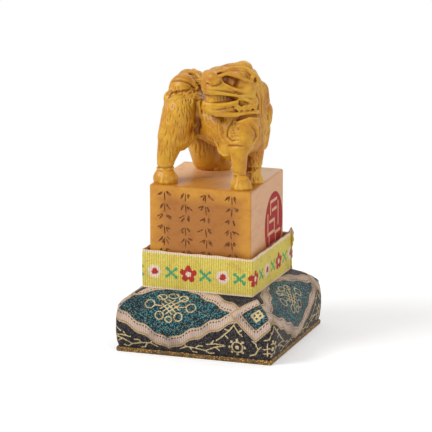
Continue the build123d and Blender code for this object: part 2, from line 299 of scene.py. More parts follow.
class Bench:
    """Builds the nodes of one material, or of the world."""

    def __init__(self, name: str, world: bpy.types.World | None = None) -> None:
        """Starts on a new material's Principled shader, or on a world's background.

        Args:
            name: The material's name.
            world: The world, if it is one.
        """
        self.material = world or bpy.data.materials.new(name)
        self.material.use_nodes = True
        self.tree = self.material.node_tree
        kind = "BACKGROUND" if world else "BSDF_PRINCIPLED"
        self.shader = next(n for n in self.tree.nodes if n.type == kind)

    def node(self, kind: str, settings: dict, values: dict, output: object = 0) -> Signal:
        """Adds a node.

        Args:
            kind: Blender's name of the node's type, without its leading ShaderNode.
            settings: Its properties.
            values: Number, colour or Signal for each input, by name or place.
            output: The output wanted, by name or place.

        Returns:
            That output.
        """
        node = self.tree.nodes.new("ShaderNode" + kind)
        for key, value in settings.items():
            setattr(node, key, value)
        for key, value in values.items():
            self.feed(node.inputs[key], value)
        return Signal(self, node.outputs[output])

    def feed(self, socket: bpy.types.NodeSocket, value: object) -> None:
        """Links a Signal to a socket, or sets a plain value on it.

        Args:
            socket: The input.
            value: A Signal, number, vector or colour.
        """
        if isinstance(value, Signal):
            self.tree.links.new(value.socket, socket)
        elif isinstance(value, tuple) and socket.type == "RGBA" and len(value) == 3:
            socket.default_value = (*value, 1.0)
        else:
            socket.default_value = value

    def mix(self, share: object, first: object, second: object) -> Signal:
        """A colour between two, by a share from 0 to 1."""
        settings = {"data_type": "RGBA"}
        return self.node("Mix", settings, {0: share, 6: first, 7: second}, 2)

    def tinted(self, colour: object, tint: object, share: object) -> Signal:
        """A colour multiplied by a tint, by a share from 0 to 1."""
        settings = {"data_type": "RGBA", "blend_type": "MULTIPLY"}
        return self.node("Mix", settings, {0: share, 6: colour, 7: tint}, 2)

    def place(self) -> Signal:
        """The place on the piece, in metres."""
        return self.node("TexCoord", {}, {}, "Object")

    def stretched(self, vector: Signal, scale: Point) -> Signal:
        """A place stretched along each axis."""
        return self.node("Mapping", {}, {"Vector": vector, "Scale": scale})

    def axis(self, vector: Signal, name: str) -> Signal:
        """One axis of a place."""
        return self.node("SeparateXYZ", {}, {0: vector}, name)

    def noise(self, vector: Signal, scale: float, detail: float = 3.0, rough: float = 0.5) -> Signal:
        """Cloudy noise from 0 to 1 at a number of clouds per metre."""
        values = {"Vector": vector, "Scale": scale, "Detail": detail, "Roughness": rough}
        return self.node("TexNoise", {}, values, 0)

    def stored(self, name: str) -> Signal:
        """A number stored on the piece's vertices."""
        return self.node("Attribute", {"attribute_name": name}, {}, "Fac")

    def cloth_place(self) -> Signal:
        """The place on the cloth laid flat, from its own map, in millimetres."""
        return self.node("UVMap", {"uv_map": CLOTH_MAP}, {})

    def threads(self, place: Signal, size: Point, seed: float) -> Signal:
        """A random number for each thread crossing of a weave.

        Args:
            place: The place on the flat cloth.
            size: A crossing's size.
            seed: What sets these chances apart from others.

        Returns:
            A number from 0 to 1.
        """
        kind = "VectorMath"
        cells = self.node(kind, {"operation": "DIVIDE"}, {0: place, 1: size})
        whole = self.node(kind, {"operation": "FLOOR"}, {0: cells})
        moved = self.node(kind, {"operation": "ADD"}, {0: whole, 1: (seed, seed, seed)})
        return self.node("TexWhiteNoise", {"noise_dimensions": "3D"}, {"Vector": moved})

    def seen(self) -> Signal:
        """1 for a ray from the camera, a reflection or glass, and 0 for any other."""
        kinds = ("Is Camera Ray", "Is Glossy Ray", "Is Transmission Ray")
        camera, glossy, through = (self.node("LightPath", {}, {}, kind) for kind in kinds)
        return camera.most(glossy).most(through)

    def bump(self, height: Signal, depth: float, strength: float = 1.0) -> Signal:
        """A surface normal tipped by a height, with the height's depth in metres."""
        values = {"Height": height, "Distance": depth, "Strength": strength}
        return self.node("Bump", {}, values)

    def finish(self, **sockets: object) -> Material:
        """Feeds the shader's sockets, with _ for a space in their names."""
        for key, value in sockets.items():
            self.feed(self.shader.inputs[key.replace("_", " ")], value)
        return self.material


CLOTH_MAP = "cloth"


@dataclass(frozen=True)
class StoneFinish:
    """Waxed amber soapstone; painted shade makes it redder in its hollows and painted light makes it
    yellower at its thin edges.
    """

    name: str = "amber_soapstone"
    body: Colour = srgb(190, 122, 14)
    # the stone's paler mottling, also laid on the lion's ridges as painted highlight
    pale: Colour = srgb(218, 166, 44)
    # painted shade: the red-brown laid into the lion's hollows
    hollow_shade: Colour = srgb(124, 38, 6)
    # painted shade laid into the lion's grooves and hair strokes
    groove: Colour = srgb(132, 68, 12)
    # painted shade: the browner middle of the block's front
    face: Colour = srgb(176, 112, 50)
    # painted shade: the pink of the block's right face
    right_face_shade: Colour = srgb(212, 156, 108)
    veins: float = 90.0
    roughness: float = 0.33

    def material(self, block: "StoneBlock | None" = None) -> Material:
        """Mixes the stone.

        Args:
            block: The block whose faces get their own painted light and shade, or nothing for the lion.

        Returns:
            The material.
        """
        bench = Bench(self.name if block is None else self.name + "_block")
        place = bench.place()
        clouds = bench.noise(place, self.veins, 4.0, 0.6)
        wisps = bench.noise(bench.stretched(place, (1.0, 0.4, 1.6)), 260.0, 5.0, 0.65)
        strength = 1.0 if block is None else 0.45
        colour = bench.mix(clouds.rise(0.32, 0.7) * strength, self.body, self.pale)
        if block is None:
            painted_shade = bench.stored(PAINTED_SHADE)
            ridge = bench.stored(RIDGE_SHADE_AND_HIGHLIGHT)
            # painted shade in the grooves
            colour = bench.mix((ridge * -1.0).rise(0.1, 1.0) * 0.75, colour, self.groove)
            # painted shade: hollows darkened to red-brown by how shut in they are
            colour = bench.mix(painted_shade.rise(0.14, 0.62) * 0.85, colour, self.hollow_shade)
            # painted highlight on the ridges
            colour = bench.mix(ridge.rise(0.2, 0.9) * 0.6, colour, self.pale)
        else:
            colour = self.faces(bench, place, colour, block)
        colour = bench.tinted(colour, srgb(232, 214, 190), wisps.rise(0.45, 0.75) * 0.7)
        grain = bench.noise(place, 1400.0, 3.0, 0.6)
        polish = self.roughness + grain * 0.1 + clouds * 0.05
        settings = {
            "Base_Color": colour,
            "Roughness": polish,
            "Normal": bench.bump(grain, 0.00004, 0.5),
            "Specular_IOR_Level": 0.36,
            "Subsurface_Weight": 0.1,
            "Subsurface_Scale": 0.001,
            "Subsurface_Radius": (1.0, 0.45, 0.14),
            "Coat_Weight": 0.1,
            "Coat_Roughness": 0.25,
        }
        return bench.finish(**settings)

    def faces(self, bench: Bench, place: Signal, colour: Signal, block: "StoneBlock") -> Signal:
        """Paints light and shade by face: a browner front middle, yellower front edges, a pink right and a
        paler top.

        Args:
            bench: Where the nodes go.
            place: The place on the piece.
            colour: The stone's own colour.
            block: The block's sizes.

        Returns:
            The colour with its painted light and shade.
        """
        half = block.side / 2 * MM
        across = abs(bench.axis(place, "X") - block.centre[0] * MM) / half
        height = bench.axis(place, "Z")
        middle = (block.foot + block.rise / 2) * MM
        upward = abs(height - middle) / (block.rise / 2 * MM)
        ragged = bench.noise(place, 45.0, 3.0, 0.6) * 0.35
        edge = (across.most(upward) + ragged - 0.17).rise(0.62, 1.0)
        facing = bench.node("NewGeometry", {}, {}, "Normal")
        front = (bench.axis(facing, "Y") * -1.0).rise(0.6, 0.95)
        right = bench.axis(facing, "X").rise(0.6, 0.95)
        top = bench.axis(facing, "Z").rise(0.8, 0.97)
        # painted light and shade by face: browner front middle, pink right face, yellower front edges for
        # light through thin stone, top lighter towards the back
        face_shaded_colour = bench.mix(front * (1.0 - edge) * 0.9, colour, self.face)
        face_shaded_colour = bench.mix(right * 0.85, face_shaded_colour, self.right_face_shade)
        face_shaded_colour = bench.mix(front * edge * 0.55, face_shaded_colour, srgb(222, 160, 66))
        back = bench.axis(place, "Y").rise(-0.016, 0.006)
        return bench.mix(top * 0.8, face_shaded_colour, bench.mix(back, srgb(196, 132, 54), srgb(236, 184, 132)))


@dataclass(frozen=True)
class PasteFinish:
    """Dry red seal paste."""

    name: str = "seal_paste"
    body: Colour = srgb(178, 30, 34)
    dark: Colour = srgb(138, 22, 26)

    def material(self) -> Material:
        """Mixes the paste.

        Returns:
            The material.
        """
        bench = Bench(self.name)
        blotches = bench.noise(bench.place(), 900.0, 4.0, 0.7)
        colour = bench.mix(blotches.rise(0.35, 0.65), self.dark, self.body)
        return bench.finish(
            Base_Color=colour, Roughness=0.7 + blotches * 0.2, Normal=bench.bump(blotches, 0.00008)
        )


@dataclass(frozen=True)
class InkFinish:
    """Brown ink left in cut lines."""

    name: str = "cut_line_ink"
    body: Colour = srgb(122, 70, 30)
    thin: Colour = srgb(180, 120, 62)

    def material(self) -> Material:
        """Mixes the ink.

        Returns:
            The material.
        """
        bench = Bench(self.name)
        wear = bench.noise(bench.place(), 700.0, 3.0, 0.7)
        colour = bench.mix(wear.rise(0.4, 0.68), self.body, self.thin)
        return bench.finish(Base_Color=colour, Roughness=0.6 + wear * 0.2)


@dataclass(frozen=True)
class BoardFinish:
    """Card or paper with its fibres."""

    name: str
    body: Colour
    fleck: Colour
    fibres: float = 900.0

    def material(self) -> Material:
        """Mixes the card.

        Returns:
            The material.
        """
        bench = Bench(self.name)
        place = bench.place()
        fibre = bench.noise(bench.stretched(place, (1.0, 0.35, 0.35)), self.fibres, 4.0, 0.7)
        stain = bench.noise(place, 120.0, 3.0, 0.6)
        colour = bench.mix(fibre.rise(0.5, 0.75), self.body, self.fleck)
        colour = bench.tinted(colour, srgb(205, 180, 150), stain.rise(0.45, 0.7))
        return bench.finish(
            Base_Color=colour, Roughness=0.78 + fibre * 0.15, Normal=bench.bump(fibre, 0.00006)
        )


@dataclass(frozen=True)
class RibbonFinish:
    """Woven yellow ribbon with red and white flowers, green sprigs and pale selvedges."""

    name: str = "flowered_ribbon"
    yellow: Colour = srgb(220, 198, 78)
    light: Colour = srgb(234, 220, 112)
    orange: Colour = srgb(222, 164, 84)
    leaf: Colour = srgb(196, 200, 78)
    selvedge: Colour = srgb(240, 216, 190)
    red: Colour = srgb(190, 40, 34)
    white: Colour = srgb(246, 226, 208)
    green: Colour = srgb(76, 170, 116)
    rib: float = 1.0
    thread: Point = (0.5, 0.42, 1.0)

    def material(self, height: float) -> Material:
        """Weaves the ribbon.

        Args:
            height: The ribbon's width in millimetres.

        Returns:
            The material.
        """
        bench = Bench(self.name)
        cloth = bench.cloth_place()
        along, up = bench.axis(cloth, "X"), bench.axis(cloth, "Y")
        chance = bench.threads(cloth, self.thread, 3.0)
        other = bench.threads(cloth, self.thread, 11.0)
        rib = (along * (2 * pi / self.rib)).sine()
        colour = bench.mix(chance, self.yellow, self.light)
        colour = bench.mix((other.rise(0.80, 0.86)) * 0.55, colour, self.orange)
        colour = bench.mix((chance.rise(0.84, 0.9)) * 0.6, colour, self.leaf)
        ragged = chance * 0.5 - 0.25
        marks = ((self.white, PALE), (self.red, RED), (self.white, HEART), (self.green, GREEN))
        for shade, stored in marks:
            shown = (bench.stored(stored) + ragged).rise(-0.08, 0.12)
            thread = bench.mix(other * 0.35, shade, bench.tinted(shade, srgb(200, 190, 180), 1.0))
            colour = bench.mix(shown, colour, thread)
        rim = (up - (height - 1.15)).most(0.75 - up)
        colour = bench.mix((rim + ragged * 0.4).rise(-0.05, 0.15), colour, self.selvedge)
        # painted shade in the troughs between the ribs
        colour = bench.tinted(colour, srgb(176, 158, 104), (rib * -1.0).rise(0.35, 1.0) * 0.6)
        age = bench.noise(cloth, 0.12, 3.0, 0.6)
        colour = bench.tinted(colour, srgb(226, 200, 168), age.rise(0.48, 0.72) * 0.6)
        weave = rib * 0.5 + chance * 0.35
        return bench.finish(
            Base_Color=colour,
            Roughness=0.62 + chance * 0.2,
            Normal=bench.bump(weave, 0.00008),
            Sheen_Weight=0.15,
            Sheen_Roughness=0.4,
        )


@dataclass(frozen=True)
class BrocadeFinish:
    """Brocade: teal lozenges framed by pale ribbed bands on a dark ground, with gold figures."""

    name: str
    teal: Colour = srgb(20, 68, 84)
    flash: Colour = srgb(80, 164, 166)
    night: Colour = srgb(10, 14, 20)
    ground: Colour = srgb(30, 28, 34)
    fleck: Colour = srgb(122, 112, 100)
    band: Colour = srgb(222, 196, 178)
    shade: Colour = srgb(160, 130, 116)
    gold: Colour = srgb(206, 174, 116)
    black: Colour = srgb(18, 14, 20)
    thread: Point = (0.34, 0.38, 1.0)
    dull: float = 0.0

    def material(self) -> Material:
        """Weaves the brocade.

        Returns:
            The material.
        """
        bench = Bench(self.name)
        cloth = bench.cloth_place()
        along, up = bench.axis(cloth, "X"), bench.axis(cloth, "Y")
        chance = bench.threads(cloth, self.thread, 5.0)
        other = bench.threads(cloth, self.thread, 17.0)
        wobble = chance * 0.5 - 0.25
        across = bench.stored(BAND) + wobble * 0.5
        inside = bench.stored(CELL)
        gold = bench.stored(GOLD)

        ground = bench.mix(chance.rise(0.6, 0.98) * 0.6, self.ground, self.fleck)
        field = bench.mix(chance.rise(0.46, 0.6), self.night, self.teal)
        field = bench.mix((1.0 - other.rise(0.06, 0.12)) * 0.45, field, self.gold)
        field = bench.mix(other.rise(0.8, 0.87) * 0.85, field, self.flash)
        ribs = (along * (2 * pi / 0.95)).sine()
        band = bench.mix(ribs.rise(0.1, 0.9) * 0.55 + chance * 0.2, self.band, self.shade)
        dots = (along * (2 * pi / 1.3)).sine().rise(-0.2, 0.1)
        line = 1.0 - abs(across - 1.25).rise(0.18, 0.34)
        band = bench.mix(line * dots, band, self.black)
        for middle in (0.3, 4.15, 5.1):
            edge = 1.0 - abs(across - middle).rise(0.16, 0.36)
            band = bench.mix(edge * 0.85, band, self.gold)
        rim = 1.0 - abs(across - 4.6).rise(0.1, 0.28)
        band = bench.mix(rim * 0.5, band, self.black)
        colour = bench.mix((inside + wobble).rise(-0.12, 0.12), ground, field)
        in_band = across.rise(-0.1, 0.1) * (1.0 - (across - 5.3).rise(-0.1, 0.1))
        colour = bench.mix(in_band, colour, band)
        pale_gold = bench.mix(other, self.gold, srgb(232, 214, 170))
        colour = bench.mix((gold + wobble * 0.5).rise(-0.08, 0.12), colour, pale_gold)
        grey = bench.mix(0.5, colour, srgb(96, 90, 80))
        colour = bench.mix(self.dull, colour, grey)
        wear = bench.noise(cloth, 0.09, 4.0, 0.6)
        colour = bench.tinted(colour, srgb(190, 186, 186), wear.rise(0.45, 0.7) * 0.9)
        crossing = (up * (2 * pi / 0.5)).sine() * (along * (2 * pi / 0.46)).sine()
        return bench.finish(
            Base_Color=colour,
            Roughness=0.5 + chance * 0.3,
            Normal=bench.bump(crossing * 0.4 + chance * 0.6, 0.00009),
            Specular_IOR_Level=0.22,
            Sheen_Weight=0.04,
            Sheen_Roughness=0.35,
        )


@dataclass(frozen=True)
class MetalThreadFinish:
    """Woven metallic thread, tarnished between its crossings."""

    name: str = "metallic_thread"
    bright: Colour = srgb(206, 160, 78)
    body: Colour = srgb(122, 88, 32)
    dark: Colour = srgb(52, 36, 16)

    def material(self) -> Material:
        """Weaves the edging.

        Returns:
            The material.
        """
        bench = Bench(self.name)
        cloth = bench.cloth_place()
        chance = bench.threads(cloth, (0.42, 0.36, 1.0), 2.0)
        patches = bench.noise(cloth, 0.35, 4.0, 0.65)
        colour = bench.mix(chance.rise(0.1, 0.55), self.dark, self.body)
        colour = bench.mix(chance.rise(0.78, 0.92), colour, self.bright)
        colour = bench.mix(patches.rise(0.5, 0.72) * 0.5, colour, self.body)
        return bench.finish(
            Base_Color=colour,
            Roughness=0.42 + chance * 0.25,
            Metallic=chance.rise(0.3, 0.9) * 0.55,
            Normal=bench.bump(chance, 0.0001),
        )


PAINTED_SHADE, RIDGE_SHADE_AND_HIGHLIGHT = "painted_shade", "ridge"
PALE, RED, HEART, GREEN = "pale", "red", "heart", "green"
BAND, CELL, GOLD = "band", "cell", "gold"


@dataclass(frozen=True)
class Figure:
    """Flat shapes on a cloth, in millimetres: discs and drawn lines."""

    discs: tuple[tuple[float, float, float], ...] = ()
    lines: tuple[tuple[Spot, ...], ...] = ()
    line_width: float = 0.5

    def reach(self, across: Array, up: Array) -> Array:
        """How far inside the figure each place lies, in millimetres, negative outside it.

        Args:
            across: The places along the cloth.
            up: The places up the cloth.

        Returns:
            One number for each place.
        """
        best = np.full(across.shape, -9.0)
        for x, y, radius in self.discs:
            best = np.maximum(best, radius - np.hypot(across - x, up - y))
        for line in self.lines:
            for (x0, y0), (x1, y1) in zip(line, line[1:]):
                dx, dy = x1 - x0, y1 - y0
                share = ((across - x0) * dx + (up - y0) * dy) / max(dx * dx + dy * dy, 1e-9)
                share = np.clip(share, 0, 1)
                apart = np.hypot(across - x0 - share * dx, up - y0 - share * dy)
                best = np.maximum(best, self.line_width / 2 - apart)
        return best

    def at(self, x: float, y: float) -> "Figure":
        """The same figure, moved."""
        discs = tuple((x + a, y + b, radius) for a, b, radius in self.discs)
        lines = tuple(tuple((x + a, y + b) for a, b in line) for line in self.lines)
        return Figure(discs, lines, self.line_width)


def oval_of_discs(turns: Iterable[float], wide: float, tall: float, radius: float) -> Figure:
    """Discs of one radius, set on an oval at these turns."""
    return Figure(discs=tuple((wide * cos(t), tall * sin(t), radius) for t in turns))


def ring(x: float, y: float, radius: float, squash: float = 1.0, count: int = 16) -> tuple:
    """A closed line of so many points round a point, its height squashed to a share of its width."""
    turns = [2 * pi * i / count for i in range(count + 1)]
    return tuple((x + radius * cos(t), y + radius * squash * sin(t)) for t in turns)


@dataclass(frozen=True)
class Swelling:
    """A lump that swells from one ball to another, in millimetres."""

    start: Point
    end: Point
    start_radius: float
    end_radius: float

    def copy_of(self, ball: Piece, place: Matrix) -> Piece:
        """Shapes a copy of the ball into this lump.

        Args:
            ball: A ball of radius 1 on the origin, its poles on Z.
            place: Where the lump's axes stand.

        Returns:
            The lump.
        """
        lump = Tools.copied(ball)
        start, end = place @ Vector(self.start), place @ Vector(self.end)
        span = end - start
        turn = span.to_track_quat("Z", "Y").to_matrix() if span.length > 1e-6 else Matrix.Identity(3)
        spots = Tools.places(lump)
        upper = spots[:, 2] > 1e-4
        radii = np.where(upper, self.end_radius, self.start_radius)
        turned = spots @ np.array(turn).T * radii[:, None]
        turned += np.where(upper[:, None], np.array(end), np.array(start))
        Tools.move_to(lump, turned)
        return lump


HANDS = (1, -1)


class Taper(Enum):
    """How a stroke's strength runs from its start to its end."""

    BOTH = "both"
    GROWING = "growing"
    EVEN = "even"

    def strength(self, share: float) -> float:
        """Finds how strong a stroke is along its way.

        Args:
            share: The share of its length.

        Returns:
            The strength there.
        """
        if self is Taper.EVEN:
            return 1.0
        if self is Taper.GROWING:
            return min(1.0, 0.15 + share * 1.1) * min(1.0, (1.02 - share) * 9)
        return sin(pi * min(1.0, max(0.0, share * 0.9 + 0.05))) ** 0.6


@dataclass(frozen=True)
class Stroke:
    """One stroke of the carver's tool along a line on the surface, in millimetres.

    A positive depth cuts a groove and a negative one leaves a ridge.
    """

    points: tuple[Point, ...]
    width: float
    depth: float
    taper: Taper = Taper.BOTH


class Carving:
    """Strokes gathered for one surface and then cut into it, or raised from it."""

    def __init__(self, piece: Piece) -> None:
        """Starts on a piece whose mesh is in millimetres."""
        self.piece = piece
        self.surface = BVHTree.FromObject(piece, bpy.context.evaluated_depsgraph_get())
        self.samples: list[tuple[Vector, Vector, float, float]] = []

    def stroke(self, stroke: Stroke, step: float = 0.24) -> None:
        """Lays one stroke on the surface.

        Args:
            stroke: The stroke.
            step: How far apart it is sampled.
        """
        points = [Vector(p) for p in stroke.points]
        lengths = [(b - a).length for a, b in zip(points, points[1:])]
        total = sum(lengths) or 1.0
        done = 0.0
        for a, b, length in zip(points, points[1:], lengths):
            for i in range(max(1, round(length / step))):
                share = min(1.0, i * step / max(length, 1e-6))
                place, facing, _, _ = self.surface.find_nearest(a.lerp(b, share))
                strength = stroke.taper.strength((done + length * share) / total)
                width = stroke.width * (0.6 + 0.4 * strength)
                self.samples.append((place, facing, width, stroke.depth * strength))
            done += length

    def cut(self) -> None:
        """Moves the surface by every stroke laid on it."""
        if not self.samples:
            return
        tree = KDTree(len(self.samples))
        for i, (place, _, _, _) in enumerate(self.samples):
            tree.insert(place, i)
        tree.balance()
        reach = max(width for _, _, width, _ in self.samples)
        places = Tools.places(self.piece)
        facings = Tools.facings(self.piece)
        moved = places.copy()
        for i, spot in enumerate(places):
            down = up = 0.0
            facing = facings[i]
            for _, k, apart in tree.find_range(spot, reach):
                _, toward, width, depth = self.samples[k]
                if apart > width:
                    continue
                if facing[0] * toward[0] + facing[1] * toward[1] + facing[2] * toward[2] < 0.05:
                    continue
                share = 1 - (apart / width) ** 2
                value = depth * share * share
                down, up = max(down, value), min(up, value)
            moved[i] = spot - facing * (down + up)
        Tools.move_to(self.piece, moved)


class HairComb:
    """Lays evenly spaced strands of hair as strokes that follow the surface."""

    most_tries = 2600

    def __init__(self, carving: Carving, gap: float, seed: int) -> None:
        """Starts a comb.

        Args:
            carving: Where its strokes go.
            gap: How far apart strands lie, in millimetres.
            seed: What its chances start from.
        """
        self.carving = carving
        self.gap = gap
        self.rng = np.random.default_rng(seed)
        self.cells: dict[tuple[int, int, int], list[Vector]] = {}

    def cell(self, place: Vector) -> tuple[int, int, int]:
        """The cell that a place lies in."""
        return tuple(int(floor(c / self.gap)) for c in place)

    def crowded(self, place: Vector, share: float) -> bool:
        """Whether another strand lies nearer than a share of the gap.

        Args:
            place: Where to look.
            share: The share.

        Returns:
            True if one does.
        """
        x, y, z = self.cell(place)
        near = self.gap * share
        for i in (-1, 0, 1):
            for j in (-1, 0, 1):
                for k in (-1, 0, 1):
                    for other in self.cells.get((x + i, y + j, z + k), ()):
                        if (other - place).length < near:
                            return True
        return False

    def patch(
        self, low: Point, high: Point, flow: Point, length: float, width: float, depth: float
    ) -> None:
        """Combs the part of the surface inside a box.

        Args:
            low: The box's low corner.
            high: Its high corner.
            flow: Which way the hair lies there.
            length: A strand's length.
            width: Its half width.
            depth: Its depth.
        """
        places = Tools.places(self.carving.piece)
        facings = Tools.facings(self.carving.piece)
        inside = np.flatnonzero(np.all((places > low) & (places < high), axis=1))
        if len(inside) == 0:
            return
        tries = self.rng.choice(inside, size=min(len(inside), self.most_tries), replace=False)
        for k in tries:
            place = Vector(places[k])
            if not self.crowded(place, 1.0):
                self.strand(place, Vector(facings[k]), Vector(flow), length, width, depth)

    def strand(
        self, place: Vector, normal: Vector, flow: Vector, length: float, width: float, depth: float
    ) -> None:
        """Lays one strand from a place, until it meets another.

        Args:
            place: Where it starts.
            normal: The surface's normal there.
            flow: Which way the hair lies.
            length: Its length.
            width: Its half width.
            depth: Its depth.
        """
        sway = self.rng.normal(0, 0.12)
        phase = self.rng.uniform(0, 6)
        points = [place.copy()]
        reach = length * self.rng.uniform(0.7, 1.3)
        for i in range(int(reach / 0.6)):
            heading = flow - normal * flow.dot(normal)
            if heading.length < 0.2:
                break
            heading.normalize()
            aside = normal.cross(heading)
            place = place + (heading + aside * (sway + 0.28 * sin(i * 0.8 + phase))).normalized() * 0.6
            place, normal, _, _ = self.carving.surface.find_nearest(place)
            if self.crowded(place, 0.72):
                break
            points.append(place.copy())
        if len(points) < 4:
            return
        for point in points:
            self.cells.setdefault(self.cell(point), []).append(point)
        cut = depth * self.rng.uniform(0.75, 1.15)
        self.carving.stroke(Stroke(tuple(tuple(p) for p in points), width, cut))


LION_FOOT = Vector((-1.1, -0.35, 70.9))
LION_TURN = radians(0.6)
HEAD_PLACE = Vector((9.9, -9.45, 40.04))
HEAD_TURN = radians(227.0)

Lump = tuple[Point, Point, float, float]
NamedLump = tuple[str, Point, Point, float, float]


@dataclass
class GuardianLion:
    """The carved lion on top of the seal, worked in millimetres about the middle of the block's top."""

    clay: float = 0.42
    fine: float = 0.33
    hair_gap: float = 0.92
    pits: int = 46
    shut_reach: float = 12.0
    seed: int = 7
    body: tuple[NamedLump, ...] = (
        ("pelvis", (-10.3, 5.4, 25.5), (-10.8, -4, 29.1), 10.3, 9),
        ("barrel", (-9, 3.2, 27), (12.1, -5.9, 21.3), 10.3, 10.6),
        ("chest", (13, -5.4, 27), (10.8, -9, 16.1), 9.3, 6.8),
        ("near_haunch", (-13.6, -9.5, 29.1), (-15.2, -12.1, 19.2), 7.3, 7),
        ("near_stifle", (-10.6, -6.5, 20), (-12.2, -10.5, 15.4), 4.6, 2.8),
        ("near_hock", (-15.7, -13, 18.7), (-17.7, -14.9, 9.9), 6, 4),
        ("near_shin", (-17.7, -14.9, 10.4), (-17.9, -15.7, 4.2), 3.9, 3.5),
        ("near_hind_paw", (-18.5, -16.2, 1.6), (-16, -16.6, 1.4), 4.4, 4.1),
        ("far_haunch", (-10.4, 9.9, 28), (-10.8, 12.1, 17.2), 7.5, 6.8),
        ("far_hock", (-11.4, 12.2, 15.6), (-8.6, 13.4, 5.2), 7.2, 7.2),
        ("far_hind_paw", (-7.6, 14.2, 2.8), (-3.4, 14.6, 2.6), 5.4, 5.2),
        ("rump", (-14, -1.4, 37.2), (-13.5, -0.9, 32.2), 6.9, 7.8),
        ("tail", (-14, 2.7, 40.4), (-10.4, 3.2, 40.2), 4.8, 4.6),
        ("tail_tip", (-9.9, 1.4, 42), (-6.8, -0.9, 40.2), 2.6, 2),
        ("hair_tuft", (-19.4, -5.4, 34.3), (-18.5, -7.2, 30.2), 2.6, 2.9),
        ("near_shoulder", (16.2, -10.4, 27), (14.9, -12.6, 18.2), 6.1, 5.5),
        ("near_arm", (14.4, -14, 18.2), (15.3, -16.2, 7.3), 4, 3.1),
        ("near_fore_paw", (15.6, -16.6, 1.6), (17, -17.4, 1.4), 4, 3.9),
        ("far_arm", (17.6, -1.4, 18.2), (17.6, -4.1, 6.8), 4.5, 3.7),
        ("far_fore_paw", (17.1, -4.5, 2.8), (17.4, -5.6, 2.5), 4.2, 4),
        ("far_shoulder", (9, 3.6, 26), (13.5, 1.4, 17.2), 6.5, 5.4),
        ("neck", (13.5, -3.6, 35.9), (13.5, -4.5, 27), 8.4, 8.8),
        ("mane_crown", (11.7, 0.5, 42.9), (14, 0, 36.9), 6, 6.6),
        ("mane_nape", (17.6, 2.2, 38), (17.8, 3.4, 33.3), 4.5, 4.6),
        ("mane_middle", (18, 6.2, 28.6), (18, 5.6, 25.5), 4.7, 4.7),
        ("mane_low", (17.6, 5, 20.8), (17.4, 3.4, 15.6), 4.5, 4.4),
        ("mane_back", (6.8, 3.6, 38), (5.4, 4.5, 31.2), 4.7, 5.2),
    )
    head_middle: tuple[NamedLump, ...] = (
        ("skull", (-2.8, 0, 2.2), (0.8, 0, 3.2), 8.4, 7.2),
        ("snout", (4, 0, 4.8), (9, 0, 4.6), 5.8, 5),
        ("nose", (10.2, 2.1, 6.5), (10.2, -2.1, 6.5), 3.1, 3.1),
        ("nose_bridge", (9.4, 0, 7.6), (3.6, 0, 8), 2.2, 2.6),
        ("crest", (-5.4, 0, 8.2), (-0.2, 0, 8), 4, 3.4),
        ("tongue", (-0.6, 0, -2.2), (9, 0, -2.7), 5.4, 3.1),
        ("throat", (-3.6, 0, -4.2), (3, 0, -6.4), 6.4, 4.6),
        ("chin", (10.4, 2.2, -6.4), (10.4, -2.2, -6.4), 3, 3),
    )
    head_sides: tuple[NamedLump, ...] = (
        ("lip", (3.4, 4.8, 2.3), (10.8, 2.6, 2.3), 2.8, 2.6),
        ("lip_front", (10.8, 2.6, 2.3), (11.9, 0, 2), 2.6, 2.3),
        ("brow", (-1.2, 5.4, 7.4), (5.4, 3.8, 7.6), 2.5, 2.2),
        ("cheek", (-3.4, 5, 0.6), (-0.6, 5.2, -1), 4.8, 3.7),
        ("jaw", (-3, 3.8, -6), (9.6, 2.6, -6.6), 3.8, 3),
        ("beard", (-5.6, 5.9, -4.4), (-1.6, 6, -6.8), 3.4, 2.7),
    )
    face_ridges: tuple[tuple[Bead, ...], ...] = (
        ((8.6, 4.8, 7.9, 0.8), (6.2, 5.4, 8.5, 1), (3.4, 6.2, 8.4, 1.2), (1, 7, 7.5, 1.2),
         (-1.4, 7.3, 6, 1), (-4.4, 7.6, 4.8, 0.8)),
        ((8.2, 2.6, 8.7, 0.8), (4.2, 2.8, 9.3, 1), (0.7, 3.2, 9.8, 1.1), (-2.4, 3.8, 9.8, 1.1),
         (-4.8, 5.2, 9, 1), (-6.2, 6.8, 7.4, 0.9)),
        ((12.4, 2.4, 5.2, 1.3), (10.6, 4.2, 5.6, 1.3), (9.4, 4.8, 6.6, 0.8)),
        ((12.9, 0, 0.6, 1), (11.6, 3.2, 0.7, 1), (8.8, 4.9, 0.7, 1), (5.4, 6.6, 0.2, 0.9),
         (2.6, 7.9, -0.3, 0.8), (-0.6, 8.6, -1.4, 0.7)),
        ((12.9, 0, -4.5, 1), (11.6, 3.2, -4.5, 1), (8.8, 5, -4.5, 1), (5.4, 6.6, -4.1, 0.9),
         (2.2, 8.2, -3.1, 0.7)),
        ((12, 1.4, -7.9, 1.2), (9.8, 4.2, -8.3, 1.3), (4, 6.4, -8.9, 1.3), (-1, 7.9, -8.9, 1.3),
         (-6.8, 8.8, -8.4, 1.2)),
        ((7.8, 4.8, 6.4, 0.7), (6.2, 5.9, 4.1, 0.8), (4.4, 6.9, 2.7, 0.85), (1.4, 7.9, 1.7, 0.85),
         (-2.4, 8.5, 1.1, 0.8), (-6, 8.4, 0.9, 0.7)),
        ((-5.2, 7, 4.4, 0.9), (-5.6, 7.2, 6.2, 1), (-7, 6.8, 7.2, 1), (-8.2, 6.2, 6, 1),
         (-8, 6.4, 4, 1), (-6.6, 7, 3, 0.9)),
        ((1, 8.2, -2, 0.6), (-1.8, 8.8, -2.6, 0.8), (-4.4, 8.9, -3.8, 0.7), (-5.4, 8.6, -4.8, 0.4)),
        ((6, 5.9, -5.9, 0.5), (4.4, 6.8, -4.6, 0.7), (2, 7.8, -3.8, 0.7), (2.6, 7.2, -6, 0.6)),
    )
